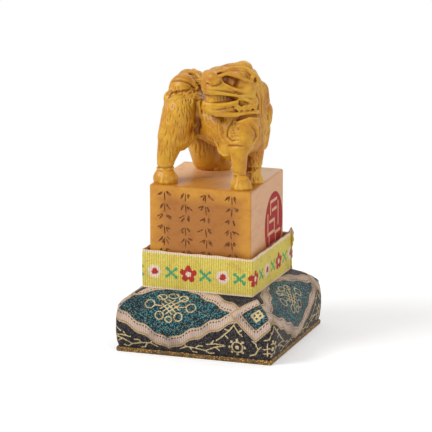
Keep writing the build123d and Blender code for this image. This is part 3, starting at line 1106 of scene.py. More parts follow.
    curls: tuple[Point, ...] = ((1.2, 8, -6), (-1.1, 8.6, -6), (-3.4, 9, -5.9), (-5.7, 9.2, -5.7))
    mane_middle: Spot = (12.6, -1.6)
    mane_out: tuple[Spot, ...] = (
        (-40, 7.3), (-20, 7.7), (5, 7.9), (45, 8), (70, 7.6), (95, 7.5), (120, 9), (145, 10.2),
        (170, 9.4), (200, 6.6),
    )
    mane_tiers: tuple[tuple[float, float, float, float, float, float], ...] = (
        (46.2, 40, -4.2, -1, 1.5, 2),
        (41, 35, -1, 0.1, 1.5, 2),
        (35.6, 29.4, -0.3, 0.2, 1.5, 2.1),
        (30, 21.6, -0.2, 0.2, 1.5, 2.2),
        (22.4, 14.4, -0.3, -1.6, 1.4, 2),
    )
    paws: tuple[Bead, ...] = (
        (-17.2, -16.3, -52, 1),
        (-5.2, 14.6, -30, 1.25),
        (16.5, -17, -58, 1),
        (17.3, -5.2, -40, 1),
    )
    tail_locks: tuple[tuple[Bead, ...], ...] = (
        ((-17.2, -1.6, 41.2, 1), (-14.8, -2.2, 43, 1.2), (-11.6, -2.8, 42.4, 1.3),
         (-9.4, -3.6, 40.8, 1.2), (-7.4, -4.2, 38.6, 0.9)),
        ((-12.4, 1.2, 43.4, 1.3), (-9.8, 2.8, 43.4, 1.5), (-7.2, 2.6, 42.2, 1.4), (-6, 0.6, 40.4, 1.2)),
        ((-16, 3, 42.6, 1.4), (-17.6, 4.6, 40.2, 1.6), (-17.6, 5.6, 37, 1.4)),
        ((-18.6, 0.4, 40.4, 1.2), (-20.2, 1.4, 37.4, 1.5), (-20.4, 1.6, 34, 1.2)),
        ((-12.6, 6.6, 43.2, 1.5), (-12.8, 8, 39.6, 1.6), (-13.4, 8, 36.2, 1.2)),
    )

    def head_place(self) -> Matrix:
        """The head's axes: forward, to its near side, and up."""
        return Matrix.Translation(HEAD_PLACE) @ Matrix.Rotation(HEAD_TURN, 4, "Z")

    @staticmethod
    def ball() -> Piece:
        """A ball that every lump is a copy of."""
        Tools.clear()
        bpy.ops.mesh.primitive_uv_sphere_add(segments=20, ring_count=12, radius=1.0)
        return Tools.named("lump_ball")

    @staticmethod
    def sided(lump: Lump, hand: int) -> Swelling:
        """A head lump on one side of the head."""
        (f0, s0, u0), (f1, s1, u1), first, last = lump
        return Swelling((f0, s0 * hand, u0), (f1, s1 * hand, u1), first, last)

    @staticmethod
    def chain(points: Sequence[Bead], hand: int = 1) -> list[Swelling]:
        """Lays a ridge as lumps from ball to ball.

        Args:
            points: Each ball's place and radius.
            hand: 1 as given, -1 mirrored.

        Returns:
            The lumps.
        """
        found = []
        for (x0, y0, z0, r0), (x1, y1, z1, r1) in zip(points, points[1:]):
            found.append(Swelling((x0, y0 * hand, z0), (x1, y1 * hand, z1), r0, r1))
        return found

    def rough_out(self, ball: Piece) -> Piece:
        """Joins the large lumps into one skin and blends them.

        Args:
            ball: The ball that every lump is a copy of.

        Returns:
            The rough lion.
        """
        own, head = Matrix.Identity(4), self.head_place()
        pieces = [Swelling(*lump).copy_of(ball, own) for _, *lump in self.body]
        pieces += [Swelling(*lump).copy_of(ball, head) for _, *lump in self.head_middle]
        for _, *lump in self.head_sides:
            pieces += [self.sided(lump, hand).copy_of(ball, head) for hand in HANDS]
        lion = Tools.joined(pieces, "lion_knop")
        Tools.modifier(lion, "REMESH", mode="VOXEL", voxel_size=self.clay, adaptivity=0.0)
        Tools.modifier(lion, "SMOOTH", factor=0.5, iterations=7)
        return lion

    def lock_ends(self) -> list[Lump]:
        """The mane's locks, tier by tier round the neck.

        Returns:
            A lump for each lock.
        """
        found = []
        bearings, outs = zip(*self.mane_out)
        for tier, (top, low, in_top, in_low, r_top, r_low) in enumerate(self.mane_tiers):
            first = -38 + (11 if tier % 2 else 0)
            last = 205 if tier < 3 else 150 if tier == 3 else 75
            for bearing in range(first, last, 22):
                out = float(np.interp(bearing, bearings, outs))
                a, b = radians(bearing), radians(bearing + 5)
                x, y = self.mane_middle
                start = (x + (out + in_top) * cos(a), y + (out + in_top) * sin(a), top)
                end = (x + (out + in_low) * cos(b), y + (out + in_low) * sin(b), low)
                found.append((start, end, r_top, r_low))
        return found

    def toe_ends(self) -> list[Lump]:
        """Four toes on each paw.

        Returns:
            A lump for each toe.
        """
        found = []
        for x, y, heading, size in self.paws:
            for spread in (-42, -14, 14, 42):
                a = radians(heading + spread)
                c, s = cos(a) * size, sin(a) * size
                found.append(((x + 1.7 * c, y + 1.7 * s, 4.1), (x + 3.7 * c, y + 3.7 * s, 0.9), 1.6, 1.5))
        return found

    def add_forms(self, lion: Piece, ball: Piece) -> None:
        """Adds the crisp forms: locks, toes, curls and the ridges of the face and tail.

        Args:
            lion: The rough lion.
            ball: The ball that every lump is a copy of.
        """
        own, head = Matrix.Identity(4), self.head_place()
        crisp = [Swelling(*lump) for lump in self.lock_ends() + self.toe_ends()]
        for lock in self.tail_locks:
            crisp += self.chain(lock)
        pieces = [lump.copy_of(ball, own) for lump in crisp]
        for hand in HANDS:
            faced = []
            for ridge in self.face_ridges:
                faced += self.chain(ridge, hand)
            for f, s, u in self.curls:
                turns = [2 * pi * i / 8 for i in range(9)]
                curl = [(f + 0.78 * cos(t), s, u + 0.85 * sin(t), 0.5) for t in turns]
                faced += self.chain(curl, hand)
            pieces += [lump.copy_of(ball, head) for lump in faced]
        Tools.joined([lion, *pieces], "lion_knop")
        Tools.modifier(lion, "REMESH", mode="VOXEL", voxel_size=self.fine, adaptivity=0.0)
        Tools.modifier(lion, "SMOOTH", factor=0.5, iterations=2)

    def faced(self, points: Iterable[Point], hand: int) -> tuple[Point, ...]:
        """Head places on one side of the head, in the lion's axes."""
        head = self.head_place()
        return tuple(tuple(head @ Vector((f, s * hand, u))) for f, s, u in points)

    def carve(self, lion: Piece) -> None:
        """Cuts the eyes, nostrils, folds, hair and toes into the skin.

        Args:
            lion: The lion, in millimetres.
        """
        carving = Carving(lion)
        for hand in HANDS:
            for stroke in self.head_strokes():
                points = self.faced(stroke.points, hand)
                carving.stroke(Stroke(points, stroke.width, stroke.depth, stroke.taper))
        for stroke in self.body_strokes():
            carving.stroke(stroke)
        carving.cut()
        hair = Carving(lion)
        self.comb(hair)
        hair.cut()

    @staticmethod
    def head_strokes() -> list[Stroke]:
        """The strokes of one side of the head, in the head's axes.

        Returns:
            The strokes.
        """
        even = Taper.EVEN

        def tooth_gap(f: float) -> tuple[Point, Point]:
            """A gap between two teeth, so far forward."""
            aside = (f - 4.6) * 0.3
            return (f, 5.6 - aside, -0.4), (f - 0.1, 5.4 - aside, -2.6)

        return [
            Stroke(((6, 5.5, 6.3), (4, 6.6, 5.4), (1.8, 7.3, 4.5)), 2.2, 1.9, even),
            Stroke(((4.4, 6.3, 5.5), (3, 6.9, 4.9)), 1.3, -1, even),
            Stroke(((8.4, 3.8, 8.2), (6.6, 4.3, 8.8), (4.8, 4.6, 9)), 1.3, 1.1, even),
            Stroke(((4.2, 4.6, 9.4), (1.2, 5.3, 9.2), (-1.4, 6, 8.2), (-4, 6.9, 6.6)), 0.8, 0.6),
            Stroke(((13.4, 0, 2.4), (12.6, 3.4, 2.1), (10.1, 5, 2), (6.8, 6.4, 1.4),
                    (4.2, 7.6, 0.8), (0.5, 8.8, 0.2), (-2.8, 9.2, -0.4)), 0.6, 0.5),
            *(Stroke(tooth_gap(f), 0.34, 0.4, even) for f in (5.2, 6.5, 7.8, 9.1, 10.3)),
            Stroke(((12.4, 2.4, -6.1), (10.4, 4.6, -6.4), (7, 5.6, -6.2), (4.6, 6.6, -5.6)), 0.6, 0.5),
            Stroke(((11, 3, -9.9), (7, 5, -10.5), (1, 7.2, -10.8), (-7.4, 8.8, -10.4)), 1.1, 1.5),
            Stroke(((-6.6, 7.4, 5.6), (-7, 7.4, 4.8)), 0.9, 0.6, even),
            Stroke(((13.4, 2.3, 4.6), (12.9, 3.2, 4.6)), 0.8, 1, even),
            Stroke(((13.3, 0, 9), (13.7, 0, 6.6), (13.4, 0, 4.2)), 0.5, 0.35),
            Stroke(((12.4, 3.6, 3.6), (10.4, 5, 3.9), (8.6, 5.6, 4.8), (7.8, 5.3, 6.4)), 0.6, 0.45),
            Stroke(((-6.8, 8.6, 1.6), (-8.6, 7.6, -1), (-9.4, 7.2, -5), (-8.6, 7.6, -9)), 0.9, 0.8),
            Stroke(((9.4, 0, 11), (4, 0, 12.2), (-2, 0, 12.3)), 0.8, 0.45),
        ]

    def body_strokes(self) -> list[Stroke]:
        """The strokes of the tail, mane, chest, shoulders and legs.

        Returns:
            The strokes, in the lion's axes.
        """
        found = [
            Stroke(((-18.6, -4.6, 40.4), (-15, -5.2, 41), (-11.6, -4.8, 40.2),
                    (-8.6, -4.2, 38.6)), 0.8, 0.8),
            Stroke(((-11.6, -0.6, 44.4), (-9.6, 0.2, 43.6), (-8, -0.6, 42.2)), 1.2, 1.3, Taper.EVEN),
            Stroke(((-19.4, -7.6, 36), (-16, -8.8, 37.2), (-12.6, -8.2, 37.8),
                    (-9.6, -6, 38.4)), 0.7, 0.7),
            Stroke(((21.4, -5.2, 40), (22, -5.2, 36), (22.2, -5.4, 31), (22.2, -6, 26),
                    (22, -6.4, 22)), 0.9, 1.3),
            Stroke(((20.8, -7.2, 40.2), (21.6, -7.2, 36), (21.8, -7.6, 31), (22, -8.4, 26),
                    (22, -9.2, 21.6)), 1, -0.6),
            Stroke(((19.9, -14, 28.5), (21.6, -11.4, 24.2), (21.7, -10.8, 21.4), (20.6, -12.2, 19.2),
                    (17.8, -15.4, 18.4)), 0.9, -0.8),
            Stroke(((18.8, -14.6, 27.5), (20.4, -12.6, 24), (20.4, -12, 21.6),
                    (19.2, -13.4, 20)), 0.9, 0.5),
            Stroke(((5.2, -12.9, 28.5), (5.6, -14.4, 24), (6.6, -14.9, 20.2),
                    (8.2, -15.5, 18.4)), 1.1, -0.9),
            Stroke(((11.7, -14.6, 28.6), (10.1, -15, 26.1), (9.5, -15.8, 23.5), (9.6, -16.1, 21.4),
                    (11.7, -16.6, 20), (15.4, -16.8, 20.6)), 0.8, 0.8),
            Stroke(((3, -12.3, 18.6), (3.8, -12.2, 16.4), (5.4, -12.6, 14.4), (8, -13.4, 13.4),
                    (10, -15, 13.2)), 1.1, -0.9),
            Stroke(((-5.4, -9.6, 35.5), (-5.6, -10.4, 32), (-5.4, -10.8, 28.2), (-5, -10, 24),
                    (-6.2, -7.4, 20)), 2, 1.5),
            Stroke(((10.4, -15.4, 17.6), (13.6, -17, 18.2), (17.2, -16.4, 18.2)), 0.9, 0.8),
        ]
        for x, y, heading, size in self.paws:
            if size > 1.1:
                continue
            turns = [radians(heading + spread) for spread in range(-170, 171, 20)]
            reach = 4.2 * size
            for height, depth in ((6.7, 0.35), (5.9, -0.25)):
                around = ((x + reach * cos(a), y + reach * sin(a), height) for a in turns)
                found.append(Stroke(tuple(around), 0.7, depth, Taper.EVEN))
        for start, end, _, r_low in self.lock_ends():
            found += self.lock_lines(Vector(start), Vector(end), r_low)
        rng = np.random.default_rng(self.seed)
        for _ in range(self.pits):
            x, z = rng.uniform(10.3, 15.4), rng.uniform(21.2, 27.6)
            turn = rng.uniform(0, pi)
            c, s = 0.7 * cos(turn), 0.7 * sin(turn)
            found.append(Stroke(((x - c, -16.0, z - s), (x + c, -16.0, z + s)), 0.42, 0.5))
        return found

    def lock_lines(self, start: Vector, end: Vector, radius: float) -> list[Stroke]:
        """Hair lines down one lock of the mane.

        Args:
            start: The lock's upper end.
            end: Its lower end.
            radius: Its radius.

        Returns:
            Their strokes.
        """
        x, y = self.mane_middle
        out = Vector((end.x - x, end.y - y, 0)).normalized()
        aside = Vector((-out.y, out.x, 0))
        found = []
        for shift in (-0.42, 0.12, 0.62):
            points = []
            for i in range(6):
                share = i / 5
                spread = shift * radius * (0.5 + 0.6 * share)
                wave = 0.35 * sin(share * 5.0 + shift)
                place = start.lerp(end, share) + out * (radius + 0.6) + aside * (spread + wave)
                points.append(tuple(place))
            found.append(Stroke(tuple(points), 0.42, 0.42))
        return found

    def comb(self, hair: Carving) -> None:
        """Combs the haunches, flanks, belly, rump and spine.

        Args:
            hair: Where the strands go.
        """
        comb = HairComb(hair, self.hair_gap, self.seed)
        for patch in (
            ((-21, -20, 15), (-5, -5, 34), (0.03, -0.05, -1), 7, 0.46, 0.42),
            ((-22, -12, 33), (-8, -3, 38), (-0.35, -0.1, -1), 5, 0.46, 0.55),
            ((-21, 5, 13), (-3, 20, 34), (0.03, 0.05, -1), 7, 0.46, 0.4),
            ((-23, -9, 22), (-14, 12, 40), (-0.1, 0.05, -1), 6, 0.46, 0.42),
            ((-5, -14, 12), (8, -3, 34), (0.25, 0, -1), 4, 0.42, 0.34),
            ((-5, 3, 12), (9, 14, 34), (0.25, 0, -1), 4, 0.45, 0.45),
            ((-8, -9, 30), (5, 8, 44), (-1, 0.1, -0.2), 4.5, 0.5, 0.5),
            ((16, -9, 3), (23, 2, 14), (0.1, 0, -1), 2.2, 0.45, 0.4),
        ):
            comb.patch(*patch)

    def store_painted_shade(self, lion: Piece) -> None:
        """Stores how shut in each place is and whether it lies in a groove or on a ridge, for painted shade
        and highlight.

        Args:
            lion: The carved lion, in millimetres.
        """
        skin = BVHTree.FromObject(lion, bpy.context.evaluated_depsgraph_get())
        places, facings = Tools.places(lion), Tools.facings(lion)
        rng = np.random.default_rng(self.seed)
        rays = rng.normal(size=(12, 3))
        rays = [Vector(r / np.linalg.norm(r)) for r in rays]
        far = self.shut_reach
        shut = np.zeros(len(places))
        for i, (spot, facing) in enumerate(zip(places, facings)):
            normal = Vector(facing)
            start = Vector(spot) + normal * 0.25
            seen = total = 0.0
            for ray in rays:
                lean = ray.dot(normal)
                heading = ray if lean > 0 else -ray
                total += abs(lean)
                apart = skin.ray_cast(start, heading, far)[3]
                if apart is not None:
                    seen += abs(lean) * (1 - apart / far * 0.5)
            shut[i] = seen / max(total, 1e-6)
        edges = np.empty(len(lion.data.edges) * 2, dtype=np.int32)
        lion.data.edges.foreach_get("vertices", edges)
        edges = edges.reshape(-1, 2)
        for _ in range(5):
            shut = self.evened(shut, edges)
        soft = places
        for _ in range(9):
            soft = self.evened(soft, edges)
        proud = np.einsum("ij,ij->i", places - soft, facings)
        proud = self.evened(proud, edges)
        Tools.attribute(lion, PAINTED_SHADE, np.clip(shut, 0, 1))
        Tools.attribute(lion, RIDGE_SHADE_AND_HIGHLIGHT, np.clip(proud / 0.14, -1, 1))

    @staticmethod
    def evened(values: Array, edges: Array) -> Array:
        """Averages each vertex's value with its neighbours'.

        Args:
            values: One row for each vertex.
            edges: Two vertices for each edge.

        Returns:
            The evened values.
        """
        flat = values.reshape(len(values), -1)
        total = np.zeros_like(flat)
        counts = np.bincount(edges.ravel(), minlength=len(flat))
        for column in range(flat.shape[1]):
            total[:, column] += np.bincount(edges[:, 0], flat[edges[:, 1], column], len(flat))
            total[:, column] += np.bincount(edges[:, 1], flat[edges[:, 0], column], len(flat))
        mixed = flat * 0.4 + total / np.maximum(counts, 1)[:, None] * 0.6
        return mixed.reshape(values.shape)

    def build(self) -> Piece:
        """Models, carves and dresses the lion.

        Returns:
            The lion, in metres.
        """
        ball = self.ball()
        lion = self.rough_out(ball)
        self.add_forms(lion, ball)
        bpy.data.objects.remove(ball)
        self.carve(lion)
        Tools.modifier(lion, "SMOOTH", factor=0.35, iterations=1)
        self.flatten_feet(lion)
        self.store_painted_shade(lion)
        place = Matrix.Translation(LION_FOOT) @ Matrix.Rotation(LION_TURN, 4, "Z")
        lion.data.transform(Matrix.Scale(MM, 4) @ place)
        lion.data.update()
        Tools.smooth(lion, 180)
        Tools.dressed(lion, StoneFinish().material())
        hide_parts("seal_stone")
        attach(lion, "seal")
        LOG.info("lion knop: %d faces", len(lion.data.polygons))
        return lion

    @staticmethod
    def flatten_feet(lion: Piece) -> None:
        """Keeps the paws' soles just inside the block."""
        places = Tools.places(lion)
        places[:, 2] = np.maximum(places[:, 2], -0.5)
        Tools.move_to(lion, places)


@dataclass
class StoneBlock:
    """The seal's square block, with cut sprigs on its front and the oval on its right."""

    side: float = 45.0
    foot: float = 27.75
    rise: float = 43.15
    bevel: float = 0.6
    below_bevel: float = 0.15
    centre: Spot = (-1.1, -0.35)
    turn: float = 0.6
    columns: tuple[float, ...] = (-15.8, -6.4, 2.6, 14.0)
    sprig_top: float = 41.0
    sprig_drop: float = 29.5
    joints: int = 6
    cut_depth: float = 0.5
    seed: int = 23

    @staticmethod
    def flattened(block: Piece) -> None:
        """Shades the big flat faces flat, so that a cut beside them doesn't bend their light."""
        for face in block.data.polygons:
            if max(abs(part) for part in face.normal) > 0.9995:
                face.use_smooth = False

    def build(self) -> Piece:
        """Models, cuts and dresses the block.

        Returns:
            The block, in metres.
        """
        block = self.body()
        self.cut_sprigs(block)
        Tools.smooth(block, 19)
        self.flattened(block)
        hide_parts("seal_stone")
        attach(block, "seal")
        LOG.info("seal block: %d faces", len(block.data.polygons))
        return block

    def body(self) -> Piece:
        """The block's body, from a merged copy of the seal below its top edge.

        Returns:
            The body, in metres.
        """
        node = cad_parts["seal_stone"]
        block = bpy.data.objects.new("seal_block", node.data.copy())
        bpy.context.scene.collection.objects.link(block)
        block.data.materials.clear()
        Tools.closed(block, 0.000002)
        level = (self.foot + self.rise - self.bevel - self.below_bevel) * MM
        Tools.only(block)
        bpy.ops.object.mode_set(mode="EDIT")
        bpy.ops.mesh.select_all(action="SELECT")
        bpy.ops.mesh.bisect(
            plane_co=(0, 0, level), plane_no=(0, 0, 1), clear_outer=True, use_fill=True, threshold=1e-7
        )
        bpy.ops.mesh.select_all(action="SELECT")
        bpy.ops.mesh.dissolve_limited(angle_limit=radians(1.0))
        bpy.ops.object.mode_set(mode="OBJECT")
        self.lift_top(block, level)
        return block

    def lift_top(self, block: Piece, level: float) -> None:
        """Raises the cut top to its height with an eased edge.

        Args:
            block: The block.
            level: The height it was cut at, in metres.
        """
        for face in block.data.polygons:
            face.select = face.center.z > level - 1e-5 and face.normal.z > 0.9
        Tools.only(block)
        bpy.ops.object.mode_set(mode="EDIT")
        bpy.ops.mesh.select_mode(type="FACE")
        middle = (self.centre[0] * MM, self.centre[1] * MM, level)
        shares = (0.0, 0.08, 0.25, 0.5, 0.75, 1.0)
        heights = [self.below_bevel + self.bevel * sin(s * pi / 2) for s in shares]
        insets = [self.bevel * (1 - cos(s * pi / 2)) for s in shares]
        lifted = inset = 0.0
        for height, aside in zip(heights, insets):
            bpy.ops.mesh.extrude_region_move(
                TRANSFORM_OT_translate={"value": (0, 0, (height - lifted) * MM)}
            )
            scale = (self.side / 2 - aside) / (self.side / 2 - inset)
            bpy.ops.transform.resize(value=(scale, scale, 1.0), center_override=middle)
            lifted, inset = height, aside
        bpy.ops.object.mode_set(mode="OBJECT")

    def cut_sprigs(self, block: Piece) -> None:
        """Cuts columns of bamboo sprigs into the front face.

        Args:
            block: The block's body.
        """
        Tools.clear()
        bpy.ops.mesh.primitive_uv_sphere_add(segments=4, ring_count=2, radius=1.0)
        chisel = Tools.named("chisel")
        rng = np.random.default_rng(self.seed)
        cuts = []
        for column in self.columns:
            cuts += self.sprig(chisel, rng, column)
        bpy.data.objects.remove(chisel)
        tool = Tools.joined(cuts, "sprig_cuts")
        Tools.closed(tool, 0.0000001)
        ink = InkFinish().material()
        Tools.dressed(tool, ink)
        block.data.materials.append(StoneFinish().material(self))
        block.data.materials.append(ink)
        before = len(block.data.polygons)
        Tools.modifier(
            block, "BOOLEAN", operation="DIFFERENCE", solver="EXACT", object=tool,
            use_self=True, material_mode="TRANSFER",
        )
        bpy.data.objects.remove(tool)
        inked = sum(1 for face in block.data.polygons if face.material_index == 1)
        after = len(block.data.polygons)
        LOG.info("block front: %d faces before the cuts, %d after, %d inked", before, after, inked)

    def sprig(
        self, chisel: Piece, rng: np.random.Generator, column: float
    ) -> list[Piece]:
        """One column: a jointed stem with leaves hanging from its joints.

        Args:
            chisel: The cut that every line is a copy of.
            rng: Where its chances come from.
            column: Its place across the face.

        Returns:
            The cuts.
        """
        cuts = []
        x, y = column, self.sprig_top
        step = self.sprig_drop / self.joints
        for joint in range(self.joints):
            lean = rng.normal(0, 0.35)
            end = (column + lean, y - step)
            if joint % 3 != 2:
                cuts.append(self.line(chisel, (x, y - 0.25), (end[0], end[1] + 0.35), 0.3))
            for hand in (-1, 1):
                for _ in range(rng.integers(2, 4)):
                    angle = radians(rng.uniform(205, 262))
                    length = rng.uniform(2.0, 3.7)
                    start = (x + hand * rng.uniform(0.5, 0.9), y - rng.uniform(0.0, 1.3))
                    aside, drop = hand * cos(angle) * length, sin(angle) * length * 0.8
                    tip = (start[0] - aside, start[1] + drop)
                    cuts.append(self.line(chisel, start, tip, rng.uniform(0.34, 0.52)))
            x, y = end
        return cuts

    def line(
        self, chisel: Piece, start: Spot, end: Spot, width: float
    ) -> Piece:
        """One pointed cut on the front face.

        Args:
            chisel: The cut that it is a copy of.
            start: Where it starts on the face, in millimetres.
            end: Where it ends.
            width: Its half width.

        Returns:
            The cut.
        """
        cut = Tools.copied(chisel)
        spots = Tools.places(cut)
        length = hypot(end[0] - start[0], end[1] - start[1])
        c, s = (end[0] - start[0]) / length, (end[1] - start[1]) / length
        along, across = spots[:, 2] * length / 2, spots[:, 0] * width
        middle = ((start[0] + end[0]) / 2, (start[1] + end[1]) / 2)
        x = middle[0] + along * c - across * s
        z = middle[1] + along * s + across * c
        depth = spots[:, 1] * self.cut_depth - self.side / 2
        turn = radians(self.turn)
        row_x = self.centre[0] + x * cos(turn) - depth * sin(turn)
        row_y = self.centre[1] + x * sin(turn) + depth * cos(turn)
        Tools.move_to(cut, np.stack([row_x, row_y, z + self.foot], axis=1) * MM)
        return cut


Profile = Callable[[Array, Array], tuple[Array, Array]]


@dataclass
class LoopStrip:
    """A strip of cloth wound once round a square with eased corners, in millimetres."""

    half: float
    corner: float
    columns: int
    rows: int

    def path(self, share: Array, out: Array) -> tuple[Array, Array]:
        """Places round the square.

        Args:
            share: How far round, from 0 to 1, from the middle of the front, going right.
            out: How far outside the path.

        Returns:
            X and Y of each place.
        """
        straight = 2 * (self.half - self.corner)
        arc = self.corner * pi / 2
        side = straight + arc
        run = share * 4 * side + straight / 2 + arc / 2
        turn = np.floor(run / side)
        run = run - turn * side - arc / 2
        clipped = np.clip(run, 0, straight)
        angle = np.clip((run - clipped) / max(self.corner, 1e-6), -pi / 4, pi / 4)
        reach = np.maximum(self.corner + out, 0.0)
        inset = np.minimum(self.corner + out, 0.0)
        x = (clipped - straight / 2) * (1 + inset / (straight / 2)) + reach * np.sin(angle)
        y = -(straight / 2 + inset + reach * np.cos(angle))
        quarter = turn * pi / 2
        c, s = np.cos(quarter), np.sin(quarter)
        return x * c - y * s, x * s + y * c

    def length(self) -> float:
        """How long the strip is, once round."""
        return 8 * (self.half - self.corner) + 2 * pi * self.corner

    def wind(self, name: str, profile: Profile) -> tuple[Piece, Array]:
        """Lays the strip flat as a grid, maps it, and winds it round.

        Args:
            name: The piece's name.
            profile: How far out and how high each place is, from its share round and up.

        Returns:
            The strip, in metres, closed round but with no thickness, and its places laid flat.
        """
        strip, share, up = Tools.grid(name, self.columns, self.rows)
        out, height = profile(share, up)
        x, y = self.path(np.where(share > 0.99999, 0.0, share), out)
        Tools.move_to(strip, np.stack([x, y, height], axis=1) * MM)
        flat = np.stack([share * self.length(), height - height.min()], axis=1)
        Tools.map_cloth(strip, flat)
        return strip, flat


@dataclass
class RibbonedTray:
    """The ribbon round the tray, its lapped end, and the finishes of the tray's card and paper."""

    centre: Spot = (-1.1, -0.35)
    turn: float = -0.9
    half: float = 24.851
    thick: float = 0.45
    corner: float = 1.1
    foot: float = 26.3
    width: float = 16.5
    rib: float = 1.0
    repeat: float = 30.6
    motif_height: float = 7.6
    first_white: float = -19.0
    seam: float = 0.375
    lap: float = 8.5
    columns: int = 796
    rows: int = 34

    def turned(self, strip: Piece) -> None:
        """Turns and moves a piece modelled round the origin to the tray's place."""
        place = Matrix.Translation((self.centre[0] * MM, self.centre[1] * MM, 0))
        strip.data.transform(place @ Matrix.Rotation(radians(self.turn), 4, "Z"))

    def profile(self, share: Array, up: Array) -> tuple[Array, Array]:
        """How far out and how high the ribbon runs.

        Args:
            share: How far round, from 0 to 1.
            up: How far up its width, from 0 to 1.

        Returns:
            How far out and how high each place is.
        """
        length = self.strip().length()
        ribs = 0.06 * np.sin(share * length * 2 * pi / self.rib)
        bow = 0.32 * np.sin(pi * up) * (1 + 0.5 * np.sin(share * 2 * pi * 2 + 0.7))
        slack = 0.12 * np.sin(share * 2 * pi * 9 + 1.3) * up
        selvedge = 0.05 * np.exp(-((up - 1) / 0.05) ** 2)
        ribs = ribs * np.clip((0.97 - up) * 30, 0, 1) * np.clip((up - 0.03) * 30, 0, 1)
        out = ribs + bow + slack * 0.6 + selvedge
        wave = 0.14 * np.sin(share * 2 * pi * 7) + 0.1 * np.sin(share * 2 * pi * 23 + 1)
        rough = 0.05 * np.sin(share * length * 2 * pi / 0.83)
        height = self.foot + 0.04 + up * (self.width - 0.1) + (wave + rough) * up ** 3
        return np.maximum(out, 0.0), height

    def strip(self) -> LoopStrip:
        """The strip that the ribbon is."""
        return LoopStrip(self.half, self.corner, self.columns, self.rows)

    def flowers(self, piece: Piece, along: Array, up: Array) -> None:
        """Stores the ribbon's flowers and sprigs on a piece.

        Args:
            piece: The ribbon.
            along: Each vertex's place along the ribbon.
            up: Its height on the ribbon.
        """
        bloom = oval_of_discs([pi * (0.5 + 0.4 * i) for i in range(5)], 2.35, 2.2, 1.55)
        notch = oval_of_discs([pi * (0.7 + 0.4 * i) for i in range(5)], 3.4, 3.2, 0.62)
        daisy = oval_of_discs([pi * 0.33 * i for i in range(6)], 1.5, 1.4, 1.55)
        daisy_heart = Figure(discs=((0.25, 0.1, 1.35), (-0.3, -0.3, 1.0)))
        sprig = Figure(
            ((-2.1, 1.8, 0.8), (2.1, -1.8, 0.8), (2.1, 1.7, 0.7), (-2.1, -1.7, 0.7)),
            (((-2.2, -1.9), (2.2, 1.9)), ((-2.2, 1.9), (2.2, -1.9))),
            1.05,
        )
        step = self.repeat
        local = (along - self.first_white + step / 2) % step - step / 2
        far = (along - self.first_white) % step - step / 2
        quarter = (along - self.first_white) % (step / 2) - step / 4
        high = up - self.motif_height
        red = np.maximum(bloom.reach(far, high), daisy_heart.reach(local, high))
        red = np.where(notch.reach(far, high) > 0, -1.0, red)
        Tools.attribute(piece, PALE, daisy.reach(local, high))
        Tools.attribute(piece, RED, red)
        Tools.attribute(piece, HEART, Figure(discs=((0.0, 0.0, 1.2),)).reach(far, high))
        Tools.attribute(piece, GREEN, sprig.reach(quarter, high))

    def build(self) -> None:
        """Models and dresses the ribbon and its lapped end, and dresses the card and paper."""
        strip = self.strip()
        ribbon, flat = strip.wind("ribbon", self.profile)
        spots = Tools.places(ribbon) / MM
        along = flat[:, 0]
        seam = strip.length() * self.seam
        along = np.where(along > seam, along - strip.length(), along)
        self.flowers(ribbon, along, spots[:, 2] - self.foot)
        Tools.closed(ribbon)
        Tools.modifier(ribbon, "SOLIDIFY", thickness=self.thick * MM * 0.9, offset=-1.0)
        self.turned(ribbon)
        Tools.smooth(ribbon, 60)
        finish = RibbonFinish().material(self.width)
        Tools.dressed(ribbon, finish)
        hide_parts("ribbon_band")
        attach(ribbon, "stand")
        LOG.info("ribbon: %d faces, %.1f mm round", len(ribbon.data.polygons), strip.length())
        self.lapped_end(finish)
        self.dress_card()

    def lapped_end(self, finish: Material) -> None:
        """Models the ribbon's frayed end, which stands past the back right corner.

        Args:
            finish: The ribbon's finish.
        """
        end, share, up = Tools.grid("ribbon_end", 36, 40)
        edge = 1.3 * up ** 1.5 * 0.8 + 0.14 * np.sin(up * 41) + 0.2 * np.sin(up * 17 + 1)
        x = self.half - self.lap + share * (self.lap + edge + 0.5)
        ribs = 0.04 * np.sin(x * 2 * pi / self.rib)
        y = self.half + 0.12 + ribs - 0.7 * np.clip(x - self.half, 0, None) * 0.4
        tip = 2.4 * np.exp(-((x - self.half - 0.2) / 0.9) ** 2) * up ** 4
        z = self.foot + 0.1 + up * (self.width - 0.3) + tip
        Tools.move_to(end, np.stack([x, y, z], axis=1) * MM)
        flat = np.stack([x + 3 * self.half, z - self.foot], axis=1)
        Tools.map_cloth(end, flat)
        self.flowers(end, flat[:, 0] + 1.0, flat[:, 1])
        Tools.modifier(end, "SOLIDIFY", thickness=0.35 * MM, offset=1.0)
        Tools.closed(end, 0.000001)
        self.turned(end)
        Tools.smooth(end, 50)
        Tools.dressed(end, finish)
        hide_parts("ribbon_band")
        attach(end, "stand")
        LOG.info("ribbon end: %d faces", len(end.data.polygons))

    @staticmethod
    def dress_card() -> None:
        """Gives the tray's card and paper nodes their finishes."""
        card = BoardFinish("tray_card", srgb(150, 108, 64), srgb(176, 134, 86)).material()
        # the lining's orange-brown is partly the paper's own colour and partly painted shade and painted
        # reflection of the amber stone
        paper = BoardFinish("tray_lining_paper", srgb(178, 106, 48), srgb(206, 140, 76)).material()
        for name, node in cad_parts.items():
            if name.startswith("tray_"):
                Tools.dressed(node, paper if "lining" in name else card)


class Side(Enum):
    """A side of the plinth, with its turn in degrees, its lozenge's place and how faded it is."""

    FRONT = ("front", 0, -10.6, 0.0)
    RIGHT = ("right", 90, -2.8, 0.22)
    BACK = ("back", 180, 6.0, 0.15)
    LEFT = ("left", 270, 1.5, 0.3)


